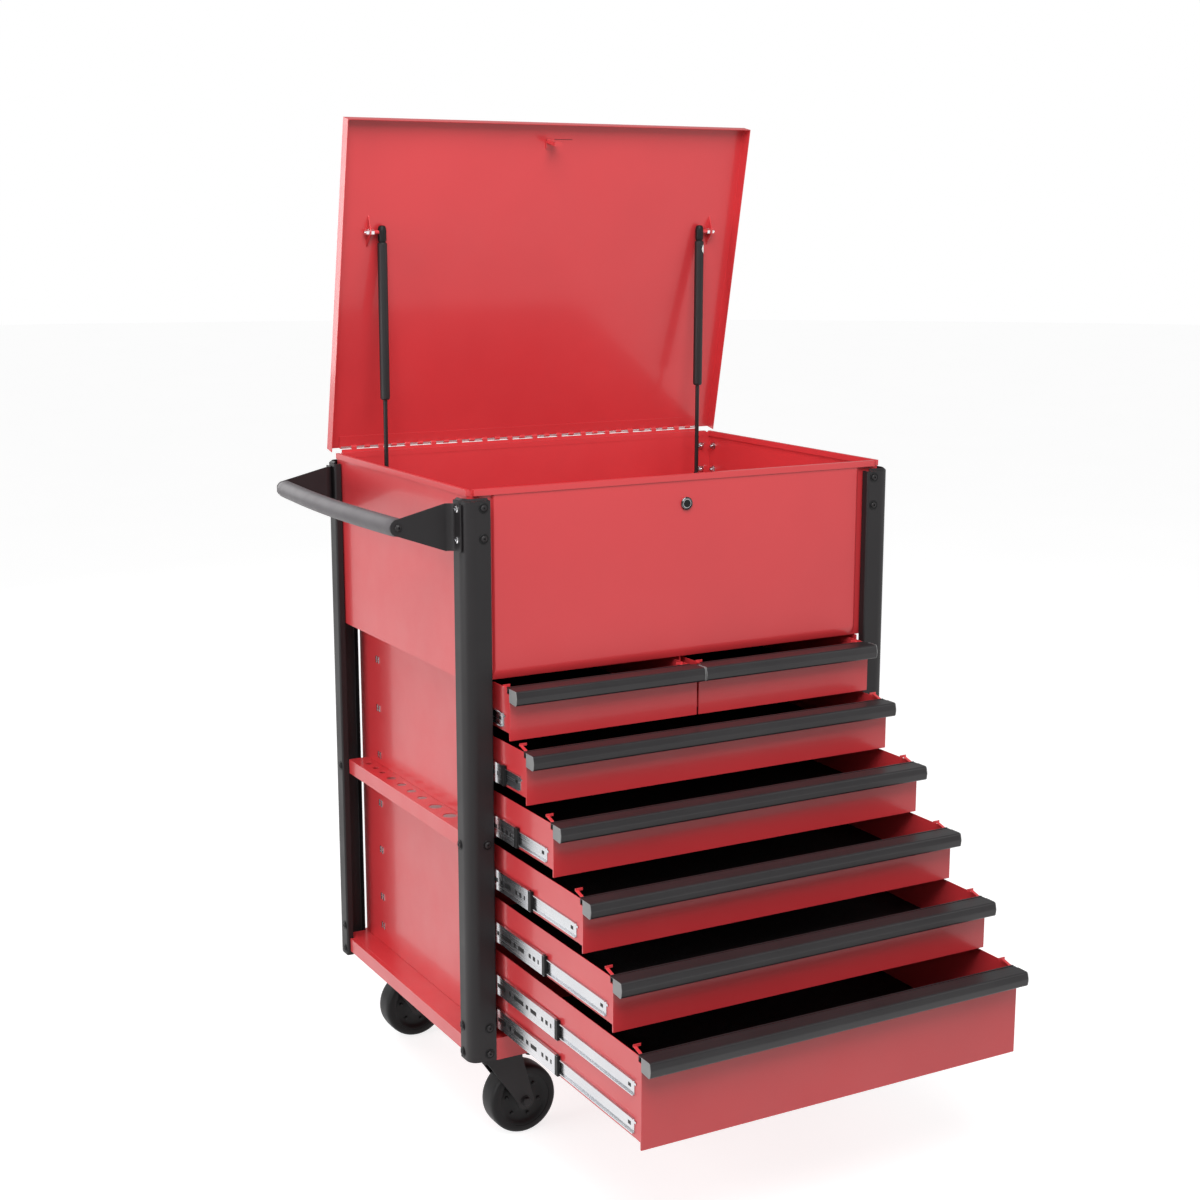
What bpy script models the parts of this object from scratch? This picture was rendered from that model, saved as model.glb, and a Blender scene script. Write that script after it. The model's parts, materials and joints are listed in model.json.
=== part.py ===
"""Rolling tool box: a seven-drawer cabinet on casters with a lidded top box and a push handle.

Metres, +Z up, +Y towards the back. The whole cabinet hangs from the empty carcass_frame, whose
own frame is the carcass: x = 0 in the middle, y = 0 on the front of the rim, z = 0 on the floor.
That empty is shifted so that the world origin is the bottom centre of the assembled box at rest:
lid up on its gas struts, every drawer pulled out a little further than the one above it.
"""

import math

import bmesh
import bpy
from mathutils import Matrix, Vector

# Carcass.
RIM_HALF_WIDTH = 0.418
RIM_DEPTH = 0.590
RIM_TOP = 1.170
HEM_HEIGHT = 0.0105
HEM_CORNER_NOTCH = 0.006
BOX_HALF_WIDTH = 0.416
BOX_FRONT = 0.002
BOX_REAR = 0.583
BOX_FLOOR = 0.846
BOX_SHEET = 0.0015
PANEL_HALF_WIDTH = 0.372
PANEL_FOLD = 0.8635
PANEL_FOLD_BACK = 0.0075
PANEL_RECESS = 0.005
PANEL_EDGE_RADIUS = 0.0065

# Corner posts.
POST_OUTER_X = 0.431
POST_FRONT = -0.013
POST_REAR = 0.603
POST_FRONT_FLANGE = 0.050
POST_SIDE_FLANGE = 0.044
POST_FRONT_RETURN = 0.016
POST_SIDE_RETURN = 0.014
POST_RADIUS = 0.022
POST_SHEET = 0.002
POST_BOTTOM = 0.176
POST_TOP = 1.153
POST_CAP = 0.003

# Drawer bay.
BAY_HALF_WIDTH = 0.378
BAY_SHEET = 0.0015
BAY_FRONT = 0.004
BAY_REAR = 0.585
BAY_TOP = 0.8456
TRAY_TOP = 0.2115
TRAY_BOTTOM = 0.1715
TRAY_SIDE_BOTTOM = 0.185
TRAY_HALF_WIDTH = 0.425
TRAY_FRONT = -0.007
TRAY_SHEET = 0.002
RAIL_OUTER = 0.405
RAIL_INNER = 0.295
RAIL_LIP = 0.014

# Drawers: the rows are counted from the top, and the sixth is the deep one.
ROWS_TOP = 0.8468
ROW_PITCH = 0.0953
DEEP_ROW = 0.1578
DRAWER_HALF_WIDTH = 0.367
DRAWER_DEPTH = 0.545
DRAWER_SHEET = 0.0012
CLOSED_FACE = 0.003
ROW_GAP = 0.0058
HALF_FRONT_GAP = 0.002
HALF_TRAY_GAP = 0.011
FRONT_RETURN = 0.011
FRONT_HEM = 0.003
TRAY_SETBACK = 0.0096
TRAY_LIFT = 0.013
FRONT_ABOVE_PULL = 0.0145
FACE_OUT = {1: 0.0454, 2: 0.1055, 3: 0.1995, 4: 0.2986, 5: 0.3959, 6: 0.4834}
PULL_HEIGHT = 0.0248
PULL_NOSE = 0.0272
PULL_SHEET = 0.0018
PULL_BACK = 0.0093
PULL_CORNER = 0.005

# Ball-bearing slides: channels that nest in one another.
SLIDE_CENTRE = 0.033
DEEP_SECOND_SLIDE = 0.0955
SLIDE_SHEET = 0.0012
OUTER_HALF = 0.0225
MIDDLE_HALF = 0.0175
INNER_HALF = 0.0125
OUTER_START = 0.016
OUTER_LENGTH = 0.550
MIDDLE_START = 0.021
MIDDLE_LENGTH = 0.500
INNER_SETBACK = 0.020
INNER_LENGTH = 0.500
DIVIDER_HALF = 0.0015

# Tool rack on the left side: hole centres from the back to the front, with their radii.
RACK_TOP = 0.577
RACK_DROP = 0.028
RACK_HOLE_X = -0.396
RACK_ENDS = (0.033, 0.557)
RACK_HOLES = (
    (0.511, 0.0058), (0.477, 0.0058), (0.442, 0.0058), (0.400, 0.0088), (0.352, 0.0088),
    (0.305, 0.0088), (0.258, 0.0088), (0.198, 0.0125), (0.137, 0.0125),
)

# Push handle on the left end.
GRIP_RADIUS = 0.016
GRIP_END_X = -0.530
GRIP_MIDDLE_X = -0.542
GRIP_Z = 1.113
GRIP_POINTS = 13
GRIP_STRAIGHT = 0.010
BRACKET_SHEET = 0.0024
BRACKET_PLATE_Y = 0.026
BRACKET_FLANGE_END = -0.005
BRACKET_BEND = 0.014
BRACKET_ROOT = (1.0685, 1.1475)
BRACKET_TIP = (1.0985, 1.1275)

# Lid, in its own frame: origin on the hinge pin, closed, front edge towards -y.
LID_PIN = (0.595, 1.179)
LID_OPEN = math.radians(78.3)
LID_HALF_WIDTH = 0.426
LID_FRONT = -0.614
LID_REAR = 0.005
LID_TOP = 0.0132
LID_SHEET = 0.0012
LID_FLANGE_BOTTOM = -0.0108
HINGE_ENDS = (-0.403, 0.390)
HINGE_RADIUS = 0.0035
HOOK_X = (-0.016, 0.0)

# Gas struts: the ball on the lid in the lid's frame, the ball in the box in the carcass frame.
STRUT_X = 0.343
LID_BALL = (-0.4094, 0.0031)
BOX_BALL = (0.518, 1.0695)
EAR_X = (0.367, 0.369)
TUBE_RADIUS = 0.009
TUBE_BORE = 0.0046
TUBE_ENDS = (0.0185, 0.308)
BORE_DEPTH = 0.262
ROD_RADIUS = 0.004
ROD_INSIDE = 0.030
SOCKET_RADIUS = 0.0065
SOCKET_HALF = 0.0075
STUD_RADIUS = 0.004
STUD_END = 0.350

# Lock.
LOCK_X = 0.002
LOCK_Z = 1.119
LOCK_HEAD = 0.0113
LOCK_BODY = 0.009

# Casters: 127 mm wheels, swivelling at the handle end.
WHEEL_RADIUS = 0.0635
WHEEL_HALF_WIDTH = 0.026
WHEEL_FACETS = 24
AXLE_RADIUS = 0.0055
AXLE_HOLE = 0.0065
CASTER_X = 0.350
CASTER_Y = 0.058
CASTER_TRAIL = 0.044
CASTER_TOP = 0.171
PLATE_HALF = (0.051, 0.057)
PLATE_THICK = 0.004
LEG_INNER = 0.0275
LEG_OUTER = 0.0305
LEG_END_RADIUS = 0.016
RACEWAY_RADIUS = 0.036

GAP = 0.0003
BITE = 0.0002

PAINT = {
    "red_paint": ((0.50, 0.035, 0.045, 1), 0.38, 0.0),
    "black_paint": ((0.030, 0.028, 0.032, 1), 0.42, 0.0),
    "black_aluminium": ((0.050, 0.050, 0.055, 1), 0.40, 0.6),
    "grip_rubber": ((0.060, 0.060, 0.065, 1), 0.60, 0.0),
    "zinc_steel": ((0.66, 0.67, 0.69, 1), 0.32, 1.0),
    "chrome": ((0.80, 0.80, 0.82, 1), 0.12, 1.0),
    "wheel_rubber": ((0.025, 0.025, 0.027, 1), 0.65, 0.0),
}


def new_collection(name):
    collection = bpy.data.collections.new(name)
    bpy.context.scene.collection.children.link(collection)
    return collection


def make_materials():
    made = {}
    for name, (colour, roughness, metallic) in PAINT.items():
        material = bpy.data.materials.new(name)
        material.use_nodes = True
        shader = material.node_tree.nodes["Principled BSDF"]
        shader.inputs["Base Color"].default_value = colour
        shader.inputs["Roughness"].default_value = roughness
        shader.inputs["Metallic"].default_value = metallic
        made[name] = material
    return made


for old in list(bpy.data.objects):
    bpy.data.objects.remove(old)
PARTS = new_collection("rolling_tool_box")
HELPERS = new_collection("rolling_tool_box_helpers")
MATERIALS = make_materials()


# Shapes.

def finished(bm, name="shape"):
    mesh = bpy.data.meshes.new(name)
    bm.to_mesh(mesh)
    bm.free()
    return mesh


def box_mesh(*boxes):
    """Boxes between their low and high corners. Boxes in one mesh stay clear of each other."""
    bm = bmesh.new()
    for low, high in boxes:
        low, high = Vector(low), Vector(high)
        place = Matrix.Translation((low + high) / 2) @ Matrix.Diagonal((*(high - low), 1))
        bmesh.ops.create_cube(bm, size=1, matrix=place)
    return finished(bm)


def open_box_mesh(low, high, missing):
    """A box without the faces that look in the missing directions, ready for Solidify."""
    low, high = Vector(low), Vector(high)
    bm = bmesh.new()
    place = Matrix.Translation((low + high) / 2) @ Matrix.Diagonal((*(high - low), 1))
    bmesh.ops.create_cube(bm, size=1, matrix=place)
    bm.normal_update()
    gone = [f for f in bm.faces if any(f.normal.dot(Vector(way)) > 0.9 for way in missing)]
    bmesh.ops.delete(bm, geom=gone, context="FACES")
    return finished(bm)


def arc(centre, radius, start, end, steps):
    """Points round a centre, from one angle to another in degrees."""
    points = []
    for i in range(steps + 1):
        angle = math.radians(start + (end - start) * i / steps)
        points.append((centre[0] + radius * math.cos(angle), centre[1] + radius * math.sin(angle)))
    return points


TURNS = {
    "X": Matrix(((0, 0, 1, 0), (1, 0, 0, 0), (0, 1, 0, 0), (0, 0, 0, 1))),
    "Y": Matrix.Rotation(math.radians(90), 4, "X"),
    "Z": Matrix.Identity(4),
}


def prism_mesh(outline, low, high, axis):
    """A flat outline pushed from low to high along X, Y or Z.

    The outline is given in (y, z) for X, in (x, z) for Y and in (x, y) for Z.
    """
    curve = bpy.data.curves.new("outline", "CURVE")
    curve.dimensions = "2D"
    curve.fill_mode = "BOTH"
    curve.extrude = (high - low) / 2
    spline = curve.splines.new("POLY")
    spline.points.add(len(outline) - 1)
    for point, (u, v) in zip(spline.points, outline):
        point.co = (u, v, 0, 1)
    spline.use_cyclic_u = True
    return mesh_of_curve(curve, TURNS[axis], (low + high) / 2 * (-1 if axis == "Y" else 1))


def mesh_of_curve(curve, turn=Matrix.Identity(4), along=0.0):
    """The curve's mesh with its caps welded, moved along the curve's z and then turned."""
    guide = bpy.data.objects.new("guide", curve)
    HELPERS.objects.link(guide)
    graph = bpy.context.evaluated_depsgraph_get()
    mesh = bpy.data.meshes.new_from_object(guide.evaluated_get(graph))
    bm = bmesh.new()
    bm.from_mesh(mesh)
    bmesh.ops.remove_doubles(bm, verts=bm.verts, dist=0.00001)
    bmesh.ops.transform(bm, matrix=turn @ Matrix.Translation((0, 0, along)), verts=bm.verts)
    bm.to_mesh(mesh)
    bm.free()
    bpy.data.objects.remove(guide)
    bpy.data.curves.remove(curve)
    mesh.materials.clear()
    return mesh


def cylinder_mesh(centre, radius, low, high, axis, segments=16):
    """A cylinder from low to high along X, Y or Z. centre holds the other two coordinates."""
    bm = bmesh.new()
    middle = (low + high) / 2
    place = {
        "X": Matrix.Translation((middle, *centre)) @ Matrix.Rotation(math.radians(90), 4, "Y"),
        "Y": Matrix.Translation((centre[0], middle, centre[1]))
        @ Matrix.Rotation(math.radians(90), 4, "X"),
        "Z": Matrix.Translation((*centre, middle)),
    }[axis]
    bmesh.ops.create_cone(bm, cap_ends=True, segments=segments, radius1=radius, radius2=radius,
                          depth=high - low, matrix=place)
    return finished(bm)


def cylinders_mesh(*cylinders):
    """Several separate cylinders in one mesh, each given as cylinder_mesh takes it."""
    bm = bmesh.new()
    for values in cylinders:
        bm.from_mesh(cylinder_mesh(*values))
    return finished(bm)


def wall_mesh(path, low, high):
    """An open vertical surface standing on a path in plan, from low to high."""
    bm = bmesh.new()
    points = [bm.verts.new((x, y, low)) for x, y in path]
    edges = [bm.edges.new(pair) for pair in zip(points, points[1:])]
    raised = bmesh.ops.extrude_edge_only(bm, edges=edges)["geom"]
    moved = [part for part in raised if isinstance(part, bmesh.types.BMVert)]
    bmesh.ops.translate(bm, vec=(0, 0, high - low), verts=moved)
    return finished(bm)


def profile_mesh(profile, closed):
    """A profile of (radius, height) points in the xz plane, ready for Screw."""
    bm = bmesh.new()
    points = [bm.verts.new((radius, 0, height)) for radius, height in profile]
    for pair in zip(points, points[1:] + points[:1] * closed):
        bm.edges.new(pair)
    return finished(bm)


# Objects.

def empty(name, parent, place=(0, 0, 0), turn_x=0.0):
    made = bpy.data.objects.new(name, None)
    made.empty_display_size = 0.05
    PARTS.objects.link(made)
    made.parent = parent
    made.location = place
    made.rotation_euler = (turn_x, 0, 0)
    return made


def node(name, mesh, material, parent, place=(0, 0, 0)):
    made = bpy.data.objects.new(name, mesh)
    mesh.name = name
    mesh.materials.append(MATERIALS[material])
    PARTS.objects.link(made)
    made.parent = parent
    made.location = place
    return made


def solidify(obj, thickness, offset=-1.0):
    modifier = obj.modifiers.new("sheet", "SOLIDIFY")
    modifier.thickness = thickness
    modifier.offset = offset
    modifier.use_even_offset = True


def screw(obj, steps):
    modifier = obj.modifiers.new("turn", "SCREW")
    modifier.axis = "Z"
    modifier.steps = steps
    modifier.render_steps = steps
    modifier.use_merge_vertices = True
    modifier.merge_threshold = 0.0001


def combine(owner, mesh, operation, sheet=0.0):
    """Joins a mesh to the owner, or cuts it out. The mesh is given in the owner's own frame."""
    helper = bpy.data.objects.new(f"{owner.name}_{operation.lower()}", mesh)
    HELPERS.objects.link(helper)
    helper.parent = owner
    helper.hide_render = True
    helper.display_type = "WIRE"
    if sheet:
        solidify(helper, sheet)
    modifier = owner.modifiers.new(operation.lower(), "BOOLEAN")
    modifier.operation = operation
    modifier.object = helper


def shade(obj):
    """Smooth shading that keeps edges over 35 degrees sharp."""
    obj.data.shade_smooth()
    obj.data.set_sharp_from_angle(angle=math.radians(35))


# Cabinet.

def post_path(side, rear):
    """The middle of a post's sheet in plan: return, front flange, round corner, side flange."""
    half = POST_SHEET / 2
    outer_x = POST_OUTER_X - half
    front = POST_FRONT + half
    inner_x = POST_OUTER_X - POST_FRONT_FLANGE + half
    path = [(inner_x, POST_FRONT + POST_FRONT_RETURN), (inner_x, front)]
    centre = (POST_OUTER_X - POST_RADIUS, POST_FRONT + POST_RADIUS)
    path += arc(centre, POST_RADIUS - half, -90, 0, 5)
    side_end = POST_FRONT + POST_SIDE_FLANGE - half
    path += [(outer_x, side_end), (POST_OUTER_X - POST_SIDE_RETURN, side_end)]
    return [(side * x, POST_REAR + POST_FRONT - y if rear else y) for x, y in path]


def make_posts(root):
    for rear in (False, True):
        for side in (-1, 1):
            path = post_path(side, rear)
            name = f"post_{'rear' if rear else 'front'}_{'left' if side < 0 else 'right'}"
            post = node(name, wall_mesh(path, POST_BOTTOM, POST_TOP), "black_paint", root)
            solidify(post, POST_SHEET, 0.0)
            cap = path + [(path[-1][0], path[0][1])]
            cap_top = POST_TOP - 0.0005
            combine(post, prism_mesh(cap, cap_top - POST_CAP, cap_top, "Z"), "UNION")
            shade(post)


def top_box_plan():
    """Half plan of the top box from the middle of the front round to the middle of the back."""
    corner = (PANEL_HALF_WIDTH - PANEL_EDGE_RADIUS, BOX_FRONT + PANEL_EDGE_RADIUS)
    half = arc(corner, PANEL_EDGE_RADIUS, -90, 0, 3)
    half[-1] = (PANEL_HALF_WIDTH, BOX_FRONT + PANEL_RECESS)
    half += [(BOX_HALF_WIDTH, BOX_FRONT + PANEL_RECESS), (BOX_HALF_WIDTH, BOX_REAR)]
    return half


def top_box_shell():
    """Walls down to the front fold, a front flange that slopes in, and the floor."""
    half = top_box_plan()
    ring = half + [(-x, y) for x, y in reversed(half)]
    wall_top = RIM_TOP - 0.002
    bm = bmesh.new()
    points = [bm.verts.new((x, y, wall_top)) for x, y in ring]
    edges = [bm.edges.new(pair) for pair in zip(points, points[1:] + points[:1])]
    for height in (PANEL_FOLD, BOX_FLOOR):
        made = bmesh.ops.extrude_edge_only(bm, edges=edges)["geom"]
        edges = [part for part in made if isinstance(part, bmesh.types.BMEdge)]
        for point in (part for part in made if isinstance(part, bmesh.types.BMVert)):
            point.co.z = height
            if height == BOX_FLOOR:
                point.co.y = max(point.co.y, BOX_FRONT + PANEL_FOLD_BACK)
    bmesh.ops.contextual_create(bm, geom=edges)
    bmesh.ops.recalc_face_normals(bm, faces=bm.faces)
    floor = min(bm.faces, key=lambda face: face.calc_center_median().z)
    if floor.normal.z > 0:
        bmesh.ops.reverse_faces(bm, faces=bm.faces)
    return finished(bm)


def make_top_box(root):
    box = node("top_box", top_box_shell(), "red_paint", root)
    solidify(box, BOX_SHEET)
    low, high = RIM_TOP - HEM_HEIGHT, RIM_TOP
    hem, thick = 0.009, 0.0065
    end_x = RIM_HALF_WIDTH - HEM_CORNER_NOTCH
    end_y = (HEM_CORNER_NOTCH, RIM_DEPTH - HEM_CORNER_NOTCH)
    inner_x = RIM_HALF_WIDTH - thick
    hems = box_mesh(
        ((-end_x + thick, 0, low), (end_x - thick, hem, high)),
        ((-end_x + thick, RIM_DEPTH - hem, low), (end_x - thick, RIM_DEPTH, high)),
        ((-RIM_HALF_WIDTH, end_y[0], low), (-inner_x, end_y[1], high)),
        ((inner_x, end_y[0], low), (RIM_HALF_WIDTH, end_y[1], high)),
    )
    combine(box, hems, "UNION")
    ball_y, ball_z = BOX_BALL
    for side in (-1, 1):
        ear = [(ball_y - 0.010, ball_z - 0.011), (ball_y + 0.010, ball_z - 0.011)]
        ear += arc(BOX_BALL, 0.008, 0, 180, 4)
        inner = STUD_END
        spread = sorted((side * inner, side * (inner + 0.0025)))
        shelf = sorted((side * (inner + 0.001), side * (BOX_HALF_WIDTH - 0.001)))
        combine(box, box_mesh(((shelf[0], ball_y - 0.009, ball_z - 0.0135),
                               (shelf[1], ball_y + 0.009, ball_z - 0.0105))), "UNION")
        combine(box, prism_mesh(ear, *spread, "X"), "UNION")
    combine(box, cylinder_mesh((LOCK_X, LOCK_Z), LOCK_BODY + 2 * GAP, -0.004, 0.010, "Y", 20),
            "DIFFERENCE")
    shade(box)


def row_bottom(row):
    return ROWS_TOP - ROW_PITCH * min(row, 5) - DEEP_ROW * (row == 6)


def row_height(row):
    return DEEP_ROW if row == 6 else ROW_PITCH


def slide_heights(row):
    """Heights of the row's slides above its bottom."""
    return (SLIDE_CENTRE, DEEP_SECOND_SLIDE) if row == 6 else (SLIDE_CENTRE,)


def channel_mesh(web, tip, height, half, start, length):
    """A C-shaped rail along y: its web's two faces, where its flanges end, and its centre height."""
    base, face = web
    inner = half - SLIDE_SHEET
    outline = [(base, height - half), (tip, height - half), (tip, height - inner),
               (face, height - inner), (face, height + inner), (tip, height + inner),
               (tip, height + half), (base, height + half)]
    return prism_mesh(outline, start, start + length, "Y")


def outer_rail(side, wall, depth, half, height):
    """The rail fixed to a wall's face, opening away from the wall. side is where the wall is."""
    base = wall + side * BITE
    web = (base, base - side * (SLIDE_SHEET + BITE))
    return channel_mesh(web, wall - side * depth, height, half, OUTER_START, OUTER_LENGTH)


def make_side_panels(root):
    wall = BAY_HALF_WIDTH - BAY_SHEET
    for side, name in ((-1, "side_panel_left"), (1, "side_panel_right")):
        low_x, high_x = sorted((side * wall, side * BAY_HALF_WIDTH))
        sheet = box_mesh(((low_x, BAY_FRONT, TRAY_TOP + GAP), (high_x, BAY_REAR - GAP, BAY_TOP)))
        panel = node(name, sheet, "red_paint", root)
        for row in range(1, 7):
            half, depth = (MIDDLE_HALF, 0.0070) if row == 1 else (OUTER_HALF, 0.0075)
            for height in slide_heights(row):
                rail = outer_rail(side, side * wall, depth, half, row_bottom(row) + height)
                combine(panel, rail, "UNION")


def make_divider(root):
    """The upright between the two top drawers, with a rail on each face."""
    bottom = row_bottom(1) + 0.004
    sheet = box_mesh(((-DIVIDER_HALF, OUTER_START, bottom), (DIVIDER_HALF, BAY_REAR - GAP, BAY_TOP)))
    divider = node("drawer_divider", sheet, "red_paint", root)
    for side in (-1, 1):
        rail = outer_rail(-side, side * DIVIDER_HALF, 0.0070, MIDDLE_HALF,
                          row_bottom(1) + SLIDE_CENTRE)
        combine(divider, rail, "UNION")


def make_back_panel(root):
    low = (-BAY_HALF_WIDTH, BAY_REAR, TRAY_TOP + GAP)
    high = (BAY_HALF_WIDTH, BAY_REAR + BAY_SHEET, BAY_TOP)
    node("back_panel", box_mesh((low, high)), "red_paint", root)


def flange_section(edge, inside, bottom):
    """An L in section: a leg that laps the tray's top and a leg down from the edge."""
    sheet = TRAY_SHEET if edge > inside else -TRAY_SHEET
    top, under = TRAY_TOP - BITE, TRAY_TOP - TRAY_SHEET + BITE
    return [(inside, top), (edge, top), (edge, bottom), (edge - sheet, bottom),
            (edge - sheet, under), (inside, under)]


def make_base_tray(root):
    """The cabinet's floor. Its flanges stop short of the posts, which stand in its corners."""
    front_x = POST_OUTER_X - POST_FRONT_FLANGE - 0.0015
    plate_x = POST_OUTER_X - POST_SIDE_RETURN - 0.001
    plate_y = POST_FRONT + POST_FRONT_RETURN + 0.001
    side_y = POST_FRONT + POST_SIDE_FLANGE + 0.002
    fold = TRAY_TOP - TRAY_SHEET / 2
    plate = box_mesh(((-plate_x, plate_y, TRAY_TOP - TRAY_SHEET),
                      (plate_x, RIM_DEPTH - plate_y, TRAY_TOP)))
    tray = node("base_tray", plate, "red_paint", root)
    lap = 0.002
    edges = ((TRAY_FRONT, plate_y + lap),
             (RIM_DEPTH - TRAY_FRONT, RIM_DEPTH - plate_y - lap))
    for edge, inside in edges:
        section = flange_section(edge, inside, TRAY_BOTTOM)
        combine(tray, prism_mesh(section, -front_x, front_x, "X"), "UNION")
    for side in (-1, 1):
        section = flange_section(side * TRAY_HALF_WIDTH, side * (plate_x - lap), TRAY_SIDE_BOTTOM)
        combine(tray, prism_mesh(section, side_y, RIM_DEPTH - side_y, "Y"), "UNION")
    for side in (-1, 1):
        outer, inner, sheet = side * RAIL_OUTER, side * RAIL_INNER, side * TRAY_SHEET
        section = [(outer, fold), (outer, TRAY_BOTTOM), (inner, TRAY_BOTTOM),
                   (inner, TRAY_BOTTOM + RAIL_LIP), (inner + sheet, TRAY_BOTTOM + RAIL_LIP),
                   (inner + sheet, TRAY_BOTTOM + TRAY_SHEET),
                   (outer - sheet, TRAY_BOTTOM + TRAY_SHEET), (outer - sheet, fold)]
        combine(tray, prism_mesh(section, 0.005, RIM_DEPTH - 0.005, "Y"), "UNION")


def make_tool_rack(root):
    low = (-RIM_HALF_WIDTH, RACK_ENDS[0], RACK_TOP - RACK_DROP)
    high = (-BAY_HALF_WIDTH - GAP, RACK_ENDS[1], RACK_TOP)
    missing = ((1, 0, 0), (0, 1, 0), (0, -1, 0), (0, 0, -1))
    rack = node("tool_rack_left", open_box_mesh(low, high, missing), "red_paint", root)
    solidify(rack, BOX_SHEET)
    holes = [((RACK_HOLE_X, y), radius, RACK_TOP - 0.01, RACK_TOP + 0.01, "Z", 16)
             for y, radius in RACK_HOLES]
    combine(rack, cylinders_mesh(*holes), "DIFFERENCE")


# Handle.

def bracket_mesh(rear):
    """A bent plate: a flange on the post, a bend, and an arm that narrows to a round tip."""
    half = BRACKET_SHEET / 2
    flange_x = -(POST_OUTER_X + GAP + half)
    centre = (flange_x - BRACKET_BEND, BRACKET_PLATE_Y - BRACKET_BEND)
    path = [(flange_x, BRACKET_FLANGE_END), (flange_x, centre[1])]
    path += arc(centre, BRACKET_BEND, 0, 90, 5)[1:]
    tip_radius = (BRACKET_TIP[1] - BRACKET_TIP[0]) / 2
    for step in (0.0, 0.45, 0.75, 0.93):
        path.append((GRIP_END_X - tip_radius * step, BRACKET_PLATE_Y))
    bm = bmesh.new()
    low_row, high_row = [], []
    for x, y in path:
        share = min(max((flange_x - BRACKET_BEND - x) / (flange_x - BRACKET_BEND - GRIP_END_X), 0), 1)
        low = BRACKET_ROOT[0] + (BRACKET_TIP[0] - BRACKET_ROOT[0]) * share
        high = BRACKET_ROOT[1] + (BRACKET_TIP[1] - BRACKET_ROOT[1]) * share
        past_tip = max(GRIP_END_X - x, 0) / tip_radius
        narrow = (1 - math.sqrt(1 - past_tip ** 2)) * tip_radius
        y = RIM_DEPTH - y if rear else y
        low_row.append(bm.verts.new((x, y, low + narrow)))
        high_row.append(bm.verts.new((x, y, high - narrow)))
    low_edges = [bm.edges.new(pair) for pair in zip(low_row, low_row[1:])]
    high_edges = [bm.edges.new(pair) for pair in zip(high_row, high_row[1:])]
    bmesh.ops.bridge_loops(bm, edges=low_edges + high_edges)
    return finished(bm)


def make_handle(root):
    for rear, name in ((False, "handle_bracket_front"), (True, "handle_bracket_rear")):
        bracket = node(name, bracket_mesh(rear), "black_paint", root)
        solidify(bracket, BRACKET_SHEET, 0.0)
        shade(bracket)
    start = BRACKET_PLATE_Y + BRACKET_SHEET / 2 + 0.0004
    curve = bpy.data.curves.new("grip", "CURVE")
    curve.dimensions = "3D"
    curve.bevel_depth = GRIP_RADIUS
    curve.bevel_resolution = 4
    curve.use_fill_caps = True
    middle = RIM_DEPTH / 2
    bowed = middle - start - GRIP_STRAIGHT
    route = [(GRIP_END_X, start)]
    for i in range(GRIP_POINTS):
        along = 2 * i / (GRIP_POINTS - 1) - 1
        bow = (GRIP_MIDDLE_X - GRIP_END_X) * (1 - along ** 2)
        route.append((GRIP_END_X + bow, middle + along * bowed))
    route.append((GRIP_END_X, RIM_DEPTH - start))
    spline = curve.splines.new("POLY")
    spline.points.add(len(route) - 1)
    for point, (x, y) in zip(spline.points, route):
        point.co = (x, y, GRIP_Z, 1)
    grip = node("handle_grip", mesh_of_curve(curve), "grip_rubber", root)
    shade(grip)


# Drawers.

def pull_outline(height):
    """The pull's section in (y, z): open below, with a level top and a crowned round nose."""
    nose, sheet, corner = -PULL_NOSE, PULL_SHEET, PULL_CORNER
    top_centre = (nose + 0.0005 + corner, height - corner)
    low_centre = (nose + 0.0008 + corner, corner)
    outer = [(PULL_BACK, height - 0.009), (PULL_BACK, height)]
    outer += arc(top_centre, corner, 90, 180, 3)
    outer += [(nose, height * 0.5)]
    outer += arc(low_centre, corner, 180, 270, 3)
    inner = [(low_centre[0] + 0.0025, 0), (low_centre[0] + 0.0025, sheet)]
    inner += arc(low_centre, corner - sheet, 270, 180, 2)
    inner += arc(top_centre, corner - sheet, 180, 90, 2)
    inner += [(PULL_BACK - sheet, height - sheet), (PULL_BACK - sheet, height - 0.009)]
    return outer + inner


def make_drawer(root, name, front, tray, row, tracks):
    """One drawer and its pull. front and tray are x ranges; tracks are (side, x) of its rails."""
    height = row_height(row) - ROW_GAP
    pull_bottom = height - PULL_HEIGHT
    place = (0, -FACE_OUT[row], row_bottom(row))
    low = (tray[0], TRAY_SETBACK, TRAY_LIFT)
    high = (tray[1], DRAWER_DEPTH, height - 0.0005)
    drawer = node(name, open_box_mesh(low, high, ((0, 0, 1),)), "red_paint", root, place)
    solidify(drawer, DRAWER_SHEET)
    grow = 0.00005
    front_low = (front[0] - grow, 0, 0)
    front_high = (front[1] + grow, FRONT_RETURN, pull_bottom + FRONT_ABOVE_PULL)
    sheet = open_box_mesh(front_low, front_high, ((0, 1, 0), (0, 0, 1), (0, 0, -1)))
    combine(drawer, sheet, "UNION", DRAWER_SHEET)
    relief = box_mesh(((front_low[0] - 0.001, FRONT_HEM, -0.001),
                       (front_high[0] + 0.001, FRONT_RETURN + 0.001, TRAY_LIFT - GAP)))
    combine(drawer, relief, "DIFFERENCE")
    for side, x in tracks:
        for centre in slide_heights(row):
            web = (x - side * 2 * BITE, x + side * 0.0010)
            rail = channel_mesh(web, x + side * 0.0046, centre, INNER_HALF, INNER_SETBACK,
                                INNER_LENGTH)
            combine(drawer, rail, "UNION")
    pull = prism_mesh(pull_outline(PULL_HEIGHT), front[0], front[1], "X")
    handle = node(f"{name}_pull", pull, "black_aluminium", root,
                  (place[0], place[1], place[2] + pull_bottom))
    shade(handle)


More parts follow.
